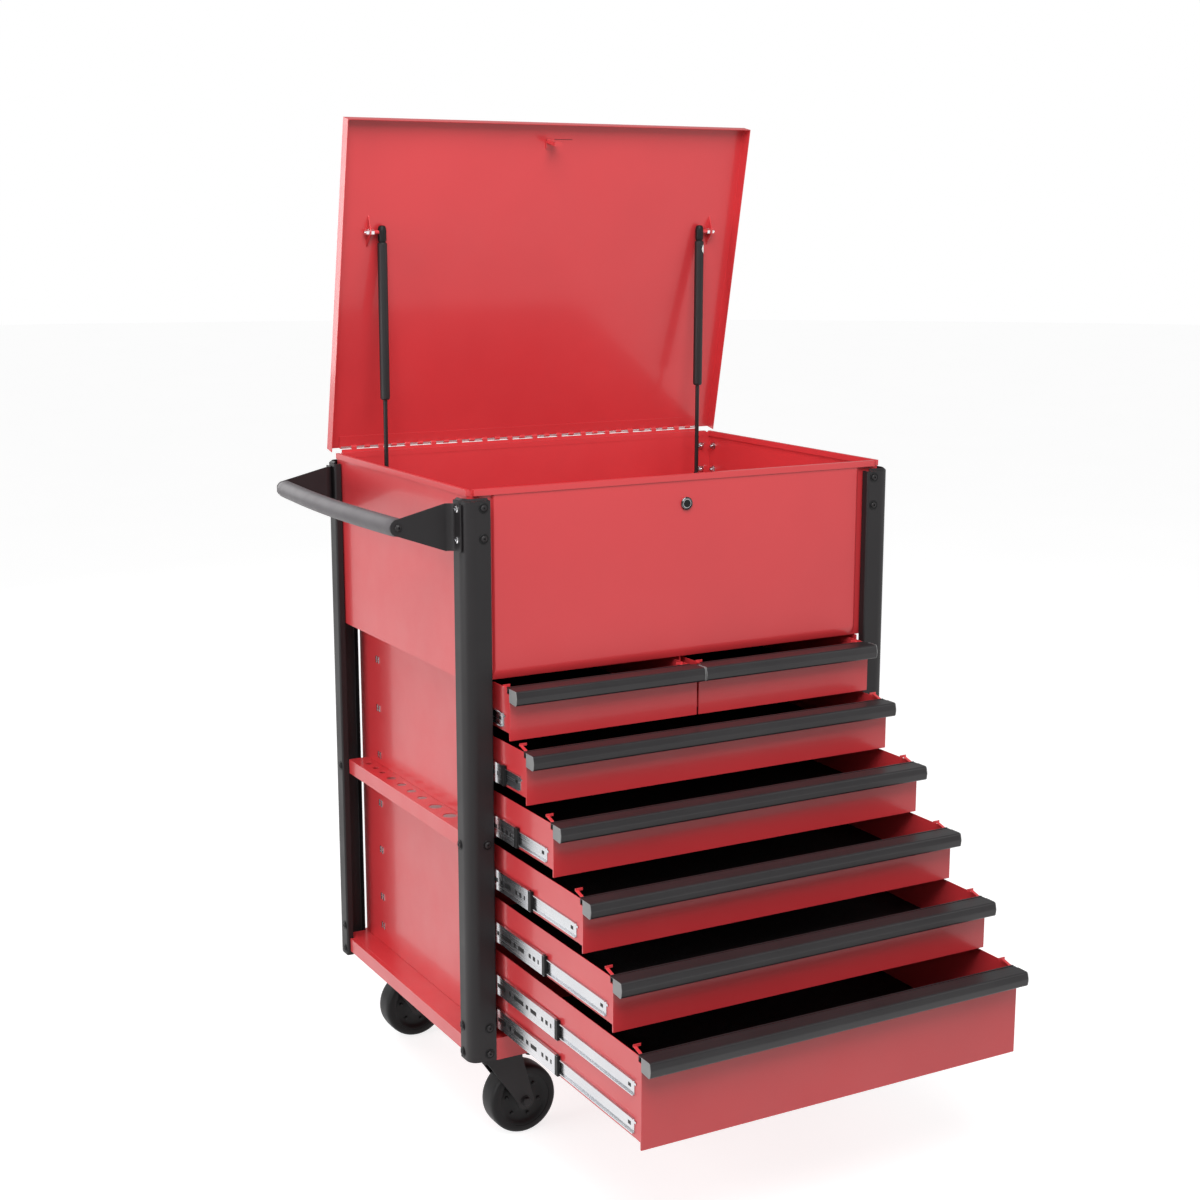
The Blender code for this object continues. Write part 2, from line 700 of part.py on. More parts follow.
def make_middle_rails(root, row):
    """The travelling channels between the fixed rails and the drawer's: half the drawer's way."""
    travel = FACE_OUT[row] + CLOSED_FACE
    for side, word in ((-1, "left"), (1, "right")):
        wall = side * (BAY_HALF_WIDTH - BAY_SHEET)
        web = (wall - side * 0.0023, wall - side * 0.0035)
        for number, centre in enumerate(slide_heights(row)):
            name = f"slide_{row}_{word}" + ("_upper" if number else "")
            rail = channel_mesh(web, wall - side * 0.0079, centre, MIDDLE_HALF, MIDDLE_START,
                                MIDDLE_LENGTH)
            node(name, rail, "zinc_steel", root, (0, -travel / 2, row_bottom(row)))


def make_drawers(root):
    edge = DRAWER_HALF_WIDTH
    for side, word in ((-1, "left"), (1, "right")):
        front = sorted((side * HALF_FRONT_GAP, side * edge))
        tray = sorted((side * HALF_TRAY_GAP, side * edge))
        tracks = ((side, side * edge), (-side, side * HALF_TRAY_GAP))
        make_drawer(root, f"drawer_1_{word}", front, tray, 1, tracks)
    for row in range(2, 7):
        make_drawer(root, f"drawer_{row}", (-edge, edge), (-edge, edge), row,
                    ((-1, -edge), (1, edge)))
        make_middle_rails(root, row)


# Lid, hinge, lock and struts.

def make_lid(lid_axis, root):
    low = (-LID_HALF_WIDTH, LID_FRONT, LID_FLANGE_BOTTOM)
    high = (LID_HALF_WIDTH, LID_REAR, LID_TOP)
    lid = node("lid", open_box_mesh(low, high, ((0, 0, -1), (0, 1, 0))), "red_paint", lid_axis)
    solidify(lid, LID_SHEET)
    ball_y, ball_z = LID_BALL
    root_z = LID_TOP - LID_SHEET / 2
    ear = [(ball_y + 0.030, root_z), (ball_y - 0.030, root_z)]
    ear += arc(LID_BALL, 0.009, 225, 315, 3)
    for side in (-1, 1):
        spread = sorted((side * EAR_X[0], side * EAR_X[1]))
        combine(lid, prism_mesh(ear, *spread, "X"), "UNION")
        stud = sorted((side * STUD_END, side * (EAR_X[1] - 0.0008)))
        combine(lid, cylinder_mesh(LID_BALL, STUD_RADIUS, *stud, "X", 12), "UNION")
    inner = LID_TOP - LID_SHEET - GAP
    hook = [(-0.584, inner), (-0.566, inner), (-0.566, inner - 0.002), (-0.576, inner - 0.002),
            (-0.576, -0.024), (-0.584, -0.024), (-0.584, -0.022), (-0.578, -0.022),
            (-0.578, inner - 0.002), (-0.584, inner - 0.002)]
    node("lid_hook", prism_mesh(hook, *HOOK_X, "X"), "red_paint", lid_axis)
    tee = [(-0.018, inner), (LID_REAR - 0.0005, inner), (LID_REAR - 0.0005, inner - 0.0014),
           (0.0007, inner - 0.0014), (0.0007, HINGE_RADIUS + 0.0005),
           (-0.0007, HINGE_RADIUS + 0.0005), (-0.0007, inner - 0.0014), (-0.018, inner - 0.0014)]
    node("hinge_leaf_lid", prism_mesh(tee, *HINGE_ENDS, "X"), "red_paint", lid_axis)
    leaf = box_mesh(((HINGE_ENDS[0] + BITE, RIM_DEPTH + GAP, RIM_TOP - 0.0155),
                     (HINGE_ENDS[1] - BITE, RIM_DEPTH + 0.0023, LID_PIN[1])))
    hinge = node("hinge_leaf_box", leaf, "red_paint", root)
    combine(hinge, cylinder_mesh(LID_PIN, HINGE_RADIUS, *HINGE_ENDS, "X", 12), "UNION")


def make_lock(root):
    profile = [(0, 0.0032), (0.0098, 0.0032), (LOCK_HEAD, 0.0017), (LOCK_HEAD, GAP),
               (LOCK_BODY, GAP), (LOCK_BODY, -0.018), (0, -0.018)]
    lock = node("lock_cylinder", profile_mesh(profile, False), "chrome", root,
                (LOCK_X, BOX_FRONT, LOCK_Z))
    lock.rotation_euler = (math.radians(90), 0, 0)
    screw(lock, 20)
    combine(lock, box_mesh(((-0.006, -0.026, -0.0205), (0.006, 0.006, -0.0175))), "UNION")
    shade(lock)


def lid_point(point):
    """A (y, z) of the lid's own frame, in the carcass frame with the lid open."""
    turn = Matrix.Rotation(-LID_OPEN, 2)
    return Vector(LID_PIN) + turn @ Vector(point)


def make_struts(root):
    top = lid_point(LID_BALL)
    way = Vector(BOX_BALL) - top
    length = way.length
    tilt = math.atan2(way[0], -way[1])
    for side, word in ((-1, "left"), (1, "right")):
        axis = empty(f"strut_{word}_axis", root, (side * STRUT_X, *top), tilt)
        tube = [(0, SOCKET_HALF), (SOCKET_RADIUS, SOCKET_HALF), (SOCKET_RADIUS, -SOCKET_HALF),
                (0.0045, -SOCKET_HALF - 0.001), (0.0045, -TUBE_ENDS[0] + 0.002),
                (0.0075, -TUBE_ENDS[0]), (TUBE_RADIUS, -TUBE_ENDS[0] - 0.002),
                (TUBE_RADIUS, -TUBE_ENDS[1] + 0.0015), (0.0078, -TUBE_ENDS[1]),
                (TUBE_BORE, -TUBE_ENDS[1]), (TUBE_BORE, -TUBE_ENDS[1] + BORE_DEPTH),
                (0, -TUBE_ENDS[1] + BORE_DEPTH)]
        cylinder = node(f"strut_cylinder_{word}", profile_mesh(tube, False), "black_paint", axis)
        screw(cylinder, 16)
        shade(cylinder)
        rod_top = length - TUBE_ENDS[1] + ROD_INSIDE
        rod = [(0, rod_top), (ROD_RADIUS, rod_top),
               (ROD_RADIUS, SOCKET_HALF + 0.001), (SOCKET_RADIUS, SOCKET_HALF),
               (SOCKET_RADIUS, -SOCKET_HALF), (0, -SOCKET_HALF)]
        piston = node(f"strut_rod_{word}", profile_mesh(rod, False), "black_paint", axis,
                      (0, 0, -length))
        screw(piston, 16)
        shade(piston)


# Casters.

def make_wheel(name, parent, place):
    """A wheel whose axis is y, standing on the flat of one facet."""
    rim = WHEEL_RADIUS / math.cos(math.pi / WHEEL_FACETS)
    half = WHEEL_HALF_WIDTH
    side = [(AXLE_HOLE, half - 0.002), (0.016, half - 0.002), (0.020, half - 0.009),
            (0.040, half - 0.009), (0.045, half), (0.058, half), (rim, half - 0.006)]
    profile = side + [(radius, -width) for radius, width in reversed(side)]
    wheel = node(name, profile_mesh(profile, True), "wheel_rubber", parent, place)
    turn = Matrix.Rotation(math.radians(90), 3, "X") @ Matrix.Rotation(
        math.pi / WHEEL_FACETS, 3, "Z")
    wheel.rotation_euler = turn.to_euler()
    screw(wheel, WHEEL_FACETS)
    shade(wheel)


def add_legs(owner, axle_x, leg_top, shoulders):
    """Two legs down to the axle and the axle itself, in a frame whose z = 0 is the plate's top."""
    axle = (axle_x, WHEEL_RADIUS - CASTER_TOP)
    front, rear, rear_drop = shoulders
    leg = [(front, leg_top), (rear, leg_top), (rear, leg_top - rear_drop)]
    leg += arc(axle, LEG_END_RADIUS, 180, 360, 8)
    leg += [(front, leg_top - rear_drop)]
    for side in (-1, 1):
        low, high = sorted((side * LEG_INNER, side * LEG_OUTER))
        combine(owner, prism_mesh(leg, low, high, "Y"), "UNION")
    combine(owner, cylinder_mesh(axle, AXLE_RADIUS, -LEG_OUTER - 0.004, LEG_OUTER + 0.004, "Y", 12),
            "UNION")


def make_casters(root):
    plate = ((-PLATE_HALF[0], -PLATE_HALF[1], -PLATE_THICK), (PLATE_HALF[0], PLATE_HALF[1], 0))
    for y, word in ((CASTER_Y, "front"), (RIM_DEPTH - CASTER_Y, "rear")):
        swivel = empty(f"caster_swivel_{word}", root, (-CASTER_X, y, CASTER_TOP))
        node(f"caster_plate_{word}_left", box_mesh(plate), "black_paint", swivel)
        disc = [(0, -PLATE_THICK - GAP), (RACEWAY_RADIUS, -PLATE_THICK - GAP),
                (RACEWAY_RADIUS, -0.010), (RACEWAY_RADIUS - 0.004, -0.013), (0, -0.013)]
        fork = node(f"caster_fork_{word}_left", profile_mesh(disc, False), "black_paint", swivel)
        screw(fork, 16)
        add_legs(fork, CASTER_TRAIL, -0.008, (0.038, -0.030, 0.014))
        wheel_drop = WHEEL_RADIUS - CASTER_TOP
        make_wheel(f"wheel_{word}_left", swivel, (CASTER_TRAIL, 0, wheel_drop))
        fixed = empty(f"caster_fixed_{word}", root, (CASTER_X, y, CASTER_TOP))
        bracket = node(f"caster_bracket_{word}_right", box_mesh(plate), "black_paint", fixed)
        add_legs(bracket, 0, -0.002, (0.034, -0.034, 0.020))
        make_wheel(f"wheel_{word}_right", fixed, (0, 0, wheel_drop))


def frame_shift():
    """How far the carcass is from the bottom centre of the whole box at rest, in x and y."""
    left = GRIP_MIDDLE_X - GRIP_RADIUS
    right = POST_OUTER_X
    front = -FACE_OUT[6] - PULL_NOSE
    rear = lid_point((LID_REAR, LID_TOP))[0]
    return -(left + right) / 2, -(front + rear) / 2, 0


def build():
    root = empty("carcass_frame", None, frame_shift())
    make_posts(root)
    make_top_box(root)
    make_side_panels(root)
    make_divider(root)
    make_back_panel(root)
    make_base_tray(root)
    make_tool_rack(root)
    make_handle(root)
    make_drawers(root)
    lid_axis = empty("lid_axis", root, (0, *LID_PIN), -LID_OPEN)
    make_lid(lid_axis, root)
    make_lock(root)
    make_struts(root)
    make_casters(root)


build()
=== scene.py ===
import json
import math

import bmesh
import bpy
from mathutils import Matrix, Vector

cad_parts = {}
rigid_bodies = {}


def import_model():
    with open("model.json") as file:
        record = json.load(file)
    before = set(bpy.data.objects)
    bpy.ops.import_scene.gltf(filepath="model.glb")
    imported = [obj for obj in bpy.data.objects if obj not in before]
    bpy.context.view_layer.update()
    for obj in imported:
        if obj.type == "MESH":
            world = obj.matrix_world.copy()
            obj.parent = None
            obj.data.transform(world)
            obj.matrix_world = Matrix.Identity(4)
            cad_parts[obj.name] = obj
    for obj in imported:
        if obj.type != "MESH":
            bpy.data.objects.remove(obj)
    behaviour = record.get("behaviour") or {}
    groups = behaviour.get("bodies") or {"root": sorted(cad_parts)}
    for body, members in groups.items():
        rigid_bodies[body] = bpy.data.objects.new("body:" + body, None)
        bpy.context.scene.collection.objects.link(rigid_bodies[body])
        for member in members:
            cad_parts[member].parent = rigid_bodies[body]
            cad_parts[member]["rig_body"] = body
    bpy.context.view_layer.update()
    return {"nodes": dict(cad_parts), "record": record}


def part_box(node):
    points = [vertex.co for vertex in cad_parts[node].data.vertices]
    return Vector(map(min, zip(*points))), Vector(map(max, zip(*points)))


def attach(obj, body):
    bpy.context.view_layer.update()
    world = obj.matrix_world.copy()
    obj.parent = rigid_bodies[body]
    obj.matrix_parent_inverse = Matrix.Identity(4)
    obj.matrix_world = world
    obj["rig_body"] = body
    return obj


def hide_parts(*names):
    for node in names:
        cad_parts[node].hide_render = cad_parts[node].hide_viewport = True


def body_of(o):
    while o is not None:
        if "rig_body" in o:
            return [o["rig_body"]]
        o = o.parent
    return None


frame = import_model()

nodes = frame["nodes"]
scene = bpy.context.scene

# The carcass frame: x = 0 in the middle, y = 0 on the front of the rim, z = 0 on the floor.
rim_low, rim_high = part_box("top_box")
CARCASS = Matrix.Translation(((rim_low.x + rim_high.x) / 2, rim_low.y, 0))

POST_X, POST_Y = 0.431, (-0.013, 0.603)
LID_PIN = (0.595, 1.179)
LID_OPEN = math.radians(78.3)
LID = (CARCASS @ Matrix.Translation((0, *LID_PIN)) @ Matrix.Rotation(-LID_OPEN, 4, "X"))
FACE_OUT = {1: 0.0454, 2: 0.1055, 3: 0.1995, 4: 0.2986, 5: 0.3959, 6: 0.4834}
ROW_BOTTOM = {1: 0.7515, 2: 0.6562, 3: 0.5609, 4: 0.4656, 5: 0.3703, 6: 0.2125}
TRAY_HEIGHT, DEEP_TRAY_HEIGHT, DEEP_ROW = 0.0895, 0.152, 6
PULL_HEIGHT = 0.0248
TRAY_HALF = 0.367
SLIDE_CENTRE, UPPER_SLIDE_CENTRE = 0.033, 0.0955
STRUT_X = 0.343
STRUT_TOP = (-0.4094, 0.0031)
STRUT_FOOT = (0.518, 1.0695)
GRIP_X, GRIP_Z, GRIP_BOW, GRIP_RADIUS = -0.530, 1.113, 0.012, 0.0158
SWIVEL_X, TRAILING_X, RIGID_X = -0.350, -0.306, 0.350
CASTER_Y = {"front": 0.058, "rear": 0.532}
AXLE_Z = 0.0635


# Materials.

def material(name, colour, rough, metallic=0.0, coat=0.0, specular=0.5):
    """A plain Principled material, which the functions below give its detail."""
    made = bpy.data.materials.new(name)
    made.use_nodes = True
    shader = made.node_tree.nodes["Principled BSDF"]
    shader.inputs["Base Color"].default_value = (*colour, 1)
    shader.inputs["Roughness"].default_value = rough
    shader.inputs["Metallic"].default_value = metallic
    shader.inputs["Coat Weight"].default_value = coat
    shader.inputs["Coat Roughness"].default_value = 0.12
    shader.inputs["Specular IOR Level"].default_value = specular
    return made


def coordinates(made, stretch=(1, 1, 1)):
    tree = made.node_tree
    where = tree.nodes.new("ShaderNodeTexCoord")
    mapping = tree.nodes.new("ShaderNodeMapping")
    mapping.inputs["Scale"].default_value = stretch
    tree.links.new(where.outputs["Object"], mapping.inputs["Vector"])
    return mapping.outputs["Vector"]


def noise(made, where, scale, detail=2.0, roughness=0.5):
    tree = made.node_tree
    texture = tree.nodes.new("ShaderNodeTexNoise")
    texture.inputs["Scale"].default_value = scale
    texture.inputs["Detail"].default_value = detail
    texture.inputs["Roughness"].default_value = roughness
    tree.links.new(where, texture.inputs["Vector"])
    return texture.outputs["Fac"]


def spread(made, source, low, high):
    """Map a 0..1 texture to low..high."""
    tree = made.node_tree
    ranged = tree.nodes.new("ShaderNodeMapRange")
    ranged.inputs["From Min"].default_value = 0.25
    ranged.inputs["From Max"].default_value = 0.75
    ranged.inputs["To Min"].default_value = low
    ranged.inputs["To Max"].default_value = high
    tree.links.new(source, ranged.inputs["Value"])
    return ranged.outputs["Result"]


def vary_colour(made, source, one, other):
    tree = made.node_tree
    ramp = tree.nodes.new("ShaderNodeValToRGB")
    ramp.color_ramp.elements[0].position = 0.3
    ramp.color_ramp.elements[0].color = (*one, 1)
    ramp.color_ramp.elements[1].position = 0.7
    ramp.color_ramp.elements[1].color = (*other, 1)
    tree.links.new(source, ramp.inputs["Fac"])
    tree.links.new(ramp.outputs["Color"], tree.nodes["Principled BSDF"].inputs["Base Color"])


def vary_roughness(made, source, low, high):
    made.node_tree.links.new(spread(made, source, low, high),
                             made.node_tree.nodes["Principled BSDF"].inputs["Roughness"])


def bump(made, source, strength, distance):
    tree = made.node_tree
    bumped = tree.nodes.new("ShaderNodeBump")
    bumped.inputs["Strength"].default_value = strength
    bumped.inputs["Distance"].default_value = distance
    tree.links.new(source, bumped.inputs["Height"])
    tree.links.new(bumped.outputs["Normal"], tree.nodes["Principled BSDF"].inputs["Normal"])


def painted(name, colour, other, rough, coat, peel=420.0, strength=0.10, specular=0.5):
    """Powder coat: an orange-peel surface, faint cloudy colour and uneven gloss."""
    made = material(name, colour, rough, coat=coat, specular=specular)
    where = coordinates(made)
    vary_colour(made, noise(made, where, 5.0, 4.0), colour, other)
    vary_roughness(made, noise(made, where, 14.0, 5.0, 0.6), rough - 0.05, rough + 0.06)
    bump(made, noise(made, where, peel, 2.0), strength, 0.0004)
    return made


def drawn_metal(name, colour, other, rough, metallic, stretch, strength=0.12):
    """Rolled or drawn metal: fine streaks along one direction."""
    made = material(name, colour, rough, metallic)
    streaks = noise(made, coordinates(made, stretch), 60.0, 4.0, 0.6)
    vary_colour(made, noise(made, coordinates(made), 9.0, 3.0), colour, other)
    vary_roughness(made, streaks, rough - 0.07, rough + 0.09)
    bump(made, streaks, strength, 0.0002)
    return made


def moulded(name, colour, other, rough, grain=900.0, strength=0.18, specular=0.5):
    """Rubber or plastic: a fine even grain."""
    made = material(name, colour, rough, specular=specular)
    where = coordinates(made)
    vary_colour(made, noise(made, where, 30.0, 3.0), colour, other)
    vary_roughness(made, noise(made, where, 60.0, 3.0), rough - 0.06, rough + 0.06)
    bump(made, noise(made, where, grain, 2.0), strength, 0.0003)
    return made


def ribbed_mat(name):
    """The drawer liner: black foam rubber with fine crossed ribs."""
    made = material(name, (0.006, 0.006, 0.0065), 0.75, specular=0.3)
    tree = made.node_tree
    where = coordinates(made)
    waves = []
    for direction in ("X", "Y"):
        wave = tree.nodes.new("ShaderNodeTexWave")
        wave.bands_direction = direction
        wave.inputs["Scale"].default_value = 60.0
        tree.links.new(where, wave.inputs["Vector"])
        waves.append(wave.outputs["Fac"])
    both = tree.nodes.new("ShaderNodeMath")
    both.operation = "MULTIPLY"
    tree.links.new(waves[0], both.inputs[0])
    tree.links.new(waves[1], both.inputs[1])
    vary_colour(made, noise(made, where, 18.0, 4.0), (0.005, 0.005, 0.0055), (0.009, 0.0085, 0.009))
    bump(made, both.outputs["Value"], 0.6, 0.001)
    return made


RED = painted("red_powder_coat", (0.58, 0.036, 0.043), (0.62, 0.040, 0.047), 0.36, 0.38)
BLACK = painted("black_powder_coat", (0.012, 0.0105, 0.0115), (0.016, 0.014, 0.015), 0.45, 0.0,
                520.0, 0.16, 0.32)
PULL = drawn_metal("pull_anodised", (0.020, 0.018, 0.0195), (0.026, 0.024, 0.0255), 0.34, 0.2,
                   (0.05, 12, 12))
GRIP = moulded("grip_foam", (0.078, 0.070, 0.076), (0.096, 0.088, 0.094), 0.5)
ZINC = drawn_metal("zinc_bright", (0.62, 0.63, 0.645), (0.54, 0.55, 0.575), 0.22, 1.0,
                   (12, 0.05, 12))
DARK_CHROME = drawn_metal("dark_chrome", (0.10, 0.095, 0.10), (0.13, 0.125, 0.13), 0.16, 1.0,
                          (12, 12, 0.2), 0.04)
CHROME = drawn_metal("chrome_plate", (0.86, 0.86, 0.87), (0.82, 0.82, 0.84), 0.14, 1.0,
                     (12, 12, 0.2), 0.04)
RUBBER = moulded("tyre_rubber", (0.007, 0.0065, 0.007), (0.011, 0.0105, 0.011), 0.5, 700.0,
                 specular=0.22)
PLASTIC = moulded("black_plastic", (0.005, 0.005, 0.0055), (0.008, 0.008, 0.0085), 0.42, 1100.0,
                  0.1, 0.22)
# The pulls' end caps: their light grey, far paler than the black pull, is painted light from the
# left on the end faces.
LIT_END_CAP = moulded("pull_end_lit_grey", (0.20, 0.20, 0.205), (0.25, 0.25, 0.25), 0.45, 900.0, 0.1)
LINER = ribbed_mat("drawer_liner")
PAPER = moulded("blank_label", (0.84, 0.83, 0.82), (0.80, 0.79, 0.78), 0.5, 1500.0, 0.05)
FINISH = {"red_paint": RED, "black_paint": BLACK, "black_aluminium": PULL, "grip_rubber": GRIP,
          "zinc_steel": ZINC, "chrome": CHROME, "wheel_rubber": RUBBER}


# Mesh helpers. Every builder fills a bmesh, so that like pieces of one body share an object.

def finish(name, shape, body, look, place=CARCASS, angle=35, replaced=()):
    """Turn a bmesh made in the frame "place" into a piece that rides on a body."""
    bmesh.ops.transform(shape, matrix=place, verts=shape.verts)
    bmesh.ops.recalc_face_normals(shape, faces=shape.faces)
    mesh = bpy.data.meshes.new(name)
    shape.to_mesh(mesh)
    shape.free()
    mesh.shade_smooth()
    mesh.set_sharp_from_angle(angle=math.radians(angle))
    mesh.materials.append(look)
    piece = bpy.data.objects.new(name, mesh)
    scene.collection.objects.link(piece)
    even = piece.modifiers.new("even_normals", "WEIGHTED_NORMAL")
    even.keep_sharp = True
    even.weight = 90
    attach(piece, body)
    if replaced:
        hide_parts(*replaced)
    return piece


def turned(shape, profile, place=Matrix(), steps=32):
    """A closed turned solid about z. A profile row is (radius, z), or (radius, z, sides) where
    the section is a polygon."""
    rows = []
    for radius, height, *sides in profile:
        if radius == 0:
            rows.append([shape.verts.new(place @ Vector((0, 0, height)))])
            continue
        row = []
        for i in range(steps):
            turn = 2 * math.pi * i / steps
            reach = radius
            if sides:
                wedge = 2 * math.pi / sides[0]
                reach *= math.cos(wedge / 2) / math.cos((turn % wedge) - wedge / 2)
            row.append(shape.verts.new(place @ Vector((reach * math.cos(turn),
                                                       reach * math.sin(turn), height))))
        rows.append(row)
    for low, high in zip(rows, rows[1:]):
        for i in range(steps):
            j = (i + 1) % steps
            ring = [low[i % len(low)], low[j % len(low)], high[j % len(high)], high[i % len(high)]]
            shape.faces.new([v for k, v in enumerate(ring) if v not in ring[:k]])


def ring_turned(shape, profile, place=Matrix(), steps=48):
    """A closed profile turned into a ring about z."""
    rows = []
    for radius, height in profile:
        rows.append([shape.verts.new(place @ Vector((
            radius * math.cos(2 * math.pi * i / steps),
            radius * math.sin(2 * math.pi * i / steps), height))) for i in range(steps)])
    for low, high in zip(rows, rows[1:] + rows[:1]):
        for i in range(steps):
            j = (i + 1) % steps
            shape.faces.new((low[i], low[j], high[j], high[i]))


def extruded(shape, outline, low, high, axis, bevel=0.0, place=Matrix()):
    """An outline extruded along an axis: (y, z) for X, (x, z) for Y, (x, y) for Z."""
    def point(a, b, c):
        return {"X": (c, a, b), "Y": (a, c, b), "Z": (a, b, c)}[axis]
    ends = [[shape.verts.new(place @ Vector(point(a, b, c))) for a, b in outline]
            for c in (low, high)]
    faces = [shape.faces.new(end) for end in ends]
    count = len(outline)
    for i in range(count):
        j = (i + 1) % count
        faces.append(shape.faces.new((ends[0][i], ends[0][j], ends[1][j], ends[1][i])))
    bmesh.ops.recalc_face_normals(shape, faces=faces)
    if bevel:
        edges = [e for e in {e for f in faces for e in f.edges}
                 if e.calc_face_angle(0) > math.radians(30)]
        bmesh.ops.bevel(shape, geom=edges, offset=bevel, segments=2, profile=0.5,
                        affect="EDGES", clamp_overlap=True)


def block(shape, low, high, bevel=0.0, place=Matrix()):
    extruded(shape, [(low[0], low[1]), (high[0], low[1]), (high[0], high[1]), (low[0], high[1])],
             low[2], high[2], "Z", bevel, place)


def filleted(corners, radii, steps=6):
    """A path through the corners, each rounded to its radius."""
    path = [Vector(corners[0])]
    for before, corner, after, radius in zip(corners, corners[1:], corners[2:], radii):
        corner = Vector(corner)
        back = (Vector(before) - corner).normalized()
        on = (Vector(after) - corner).normalized()
        half = back.angle(on) / 2
        reach = radius / math.tan(half)
        start, end = corner + back * reach, corner + on * reach
        for i in range(steps + 1):
            t = i / steps
            # A quadratic blend is close to the arc at these small bends.
            path.append(start * (1 - t) ** 2 + corner * 2 * t * (1 - t) + end * t ** 2)
    path.append(Vector(corners[-1]))
    return path


def folded(corners, radii, sheet, steps=6):
    """The closed outline of bent sheet whose middle line runs through the corners."""
    path = filleted(corners, radii, steps)
    left, right = [], []
    for i, here in enumerate(path):
        ahead = path[min(i + 1, len(path) - 1)] - path[max(i - 1, 0)]
        side = Vector((-ahead.y, ahead.x)).normalized() * sheet / 2
        left.append(here + side)
        right.append(here - side)
    return [tuple(p) for p in left + right[::-1]]


def aimed(position, direction, roll=0.0):
    """A frame at a position whose z axis points along direction."""
    turn = Vector(direction).to_track_quat("Z", "Y").to_matrix().to_4x4()
    return Matrix.Translation(position) @ turn @ Matrix.Rotation(roll, 4, "Z")


def refined(name, width=0.0004, angle=28):
    """A CAD node's own shape with its sheet edges broken, so that they catch the light."""
    source = nodes[name]
    shape = bmesh.new()
    shape.from_mesh(source.data)
    if name.startswith("drawer"):
        for v in shape.verts:
            offset = v.co.x - CARCASS.translation.x
            if abs(abs(offset) - TRAY_HALF) < 0.0001:
                v.co.x = CARCASS.translation.x + math.copysign(TRAY_HALF, offset)
    bmesh.ops.remove_doubles(shape, verts=shape.verts, dist=1e-6)
    bmesh.ops.dissolve_limit(shape, angle_limit=math.radians(0.5), verts=shape.verts,
                             edges=shape.edges)
    edges = [e for e in shape.edges if e.is_manifold and e.calc_face_angle(0) > math.radians(angle)]
    bmesh.ops.bevel(shape, geom=edges, offset=width, segments=2, profile=0.5, affect="EDGES",
                    clamp_overlap=True)
    slot = next(row["material_slot"] for row in frame["record"]["subparts"] if row["node"] == name)
    return finish(f"{name}_sheet", shape, body_of(source)[0], FINISH[slot],
                  place=Matrix(), angle=40, replaced=(name,))


# The CAD nodes that stay take the finished materials.
for row in frame["record"]["subparts"]:
    look = FINISH[row["material_slot"]]
    for material_slot in nodes[row["node"]].material_slots:
        material_slot.material = look


# Corner posts, with the bevelled cap on each and the screws that hold them.

def make_posts():
    for side, word in ((-1, "left"), (1, "right")):
        for end, where in ((0, "front"), (1, "rear")):
            x, y = side * (POST_X - 0.001), POST_Y[end] + (0.001, -0.001)[end]
            inward = (1, -1)[end]
            corners = [(side * 0.382, y + inward * 0.015), (side * 0.382, y), (x, y),
                       (x, y + inward * 0.042), (side * 0.418, y + inward * 0.042)]
            section = folded(corners, (0.003, 0.021, 0.003), 0.002, 14)
            shape = bmesh.new()
            extruded(shape, section, 0.1761, 1.1524, "Z", 0.0003)
            finish(f"post_{where}_{word}_sheet", shape, "cabinet", BLACK,
                   replaced=(f"post_{where}_{word}",))
            cap = filleted([(side * 0.386, y), (x, y), (x, y + inward * 0.036)], (0.021,), 10)
            inner = filleted([(side * 0.386, y + inward * 0.004),
                              (x - side * 0.004, y + inward * 0.004),
                              (x - side * 0.004, y + inward * 0.036)], (0.017,), 10)
            shape = bmesh.new()
            rows = [[shape.verts.new((p.x, p.y, 1.1526)) for p in cap],
                    [shape.verts.new((p.x, p.y, 1.1536)) for p in cap],
                    [shape.verts.new((p.x, p.y, 1.1568)) for p in inner],
                    [shape.verts.new((p.x, p.y, 1.1526)) for p in inner]]
            for i in range(4):
                low, high = rows[i], rows[(i + 1) % 4]
                for j in range(len(low) - 1):
                    shape.faces.new((low[j], low[j + 1], high[j + 1], high[j]))
            for j in (0, -1):
                shape.faces.new([row[j] for row in rows])
            finish(f"post_cap_{where}_{word}", shape, "cabinet", BLACK)


def add_button_screw(heads, rings, position, direction):
    place = aimed(position, direction)
    turned(rings, [(0, 0.0002), (0.0086, 0.0002), (0.0088, 0.0007), (0.0082, 0.0011),
                   (0.0068, 0.0006), (0, 0.0006)], place, 32)
    turned(heads, [(0, 0.0005), (0.0052, 0.0005), (0.0054, 0.0012), (0.0050, 0.0022),
                   (0.0040, 0.0030), (0.0028, 0.0033), (0.0020, 0.0033, 6), (0.0018, 0.0014, 6),
                   (0, 0.0014)], place, 30)


def make_post_screws():
    heads, rings = bmesh.new(), bmesh.new()
    for side in (-1, 1):
        for y, out, inward in ((POST_Y[0], -1, 1), (POST_Y[1], 1, -1)):
            for z in (1.141, 1.090, 0.566, 0.236, 0.189):
                add_button_screw(heads, rings, (side * 0.395, y, z), (0, out, 0))
            for z in (0.563, 0.236, 0.188):
                add_button_screw(heads, rings, (side * POST_X, y + inward * 0.033, z), (side, 0, 0))
            if side > 0:
                for z in (1.141, 1.090):
                    add_button_screw(heads, rings, (side * POST_X, y + inward * 0.033, z),
                                     (side, 0, 0))
    finish("post_screw_rings", rings, "cabinet", PLASTIC)
    finish("post_screw_heads", heads, "cabinet", BLACK)


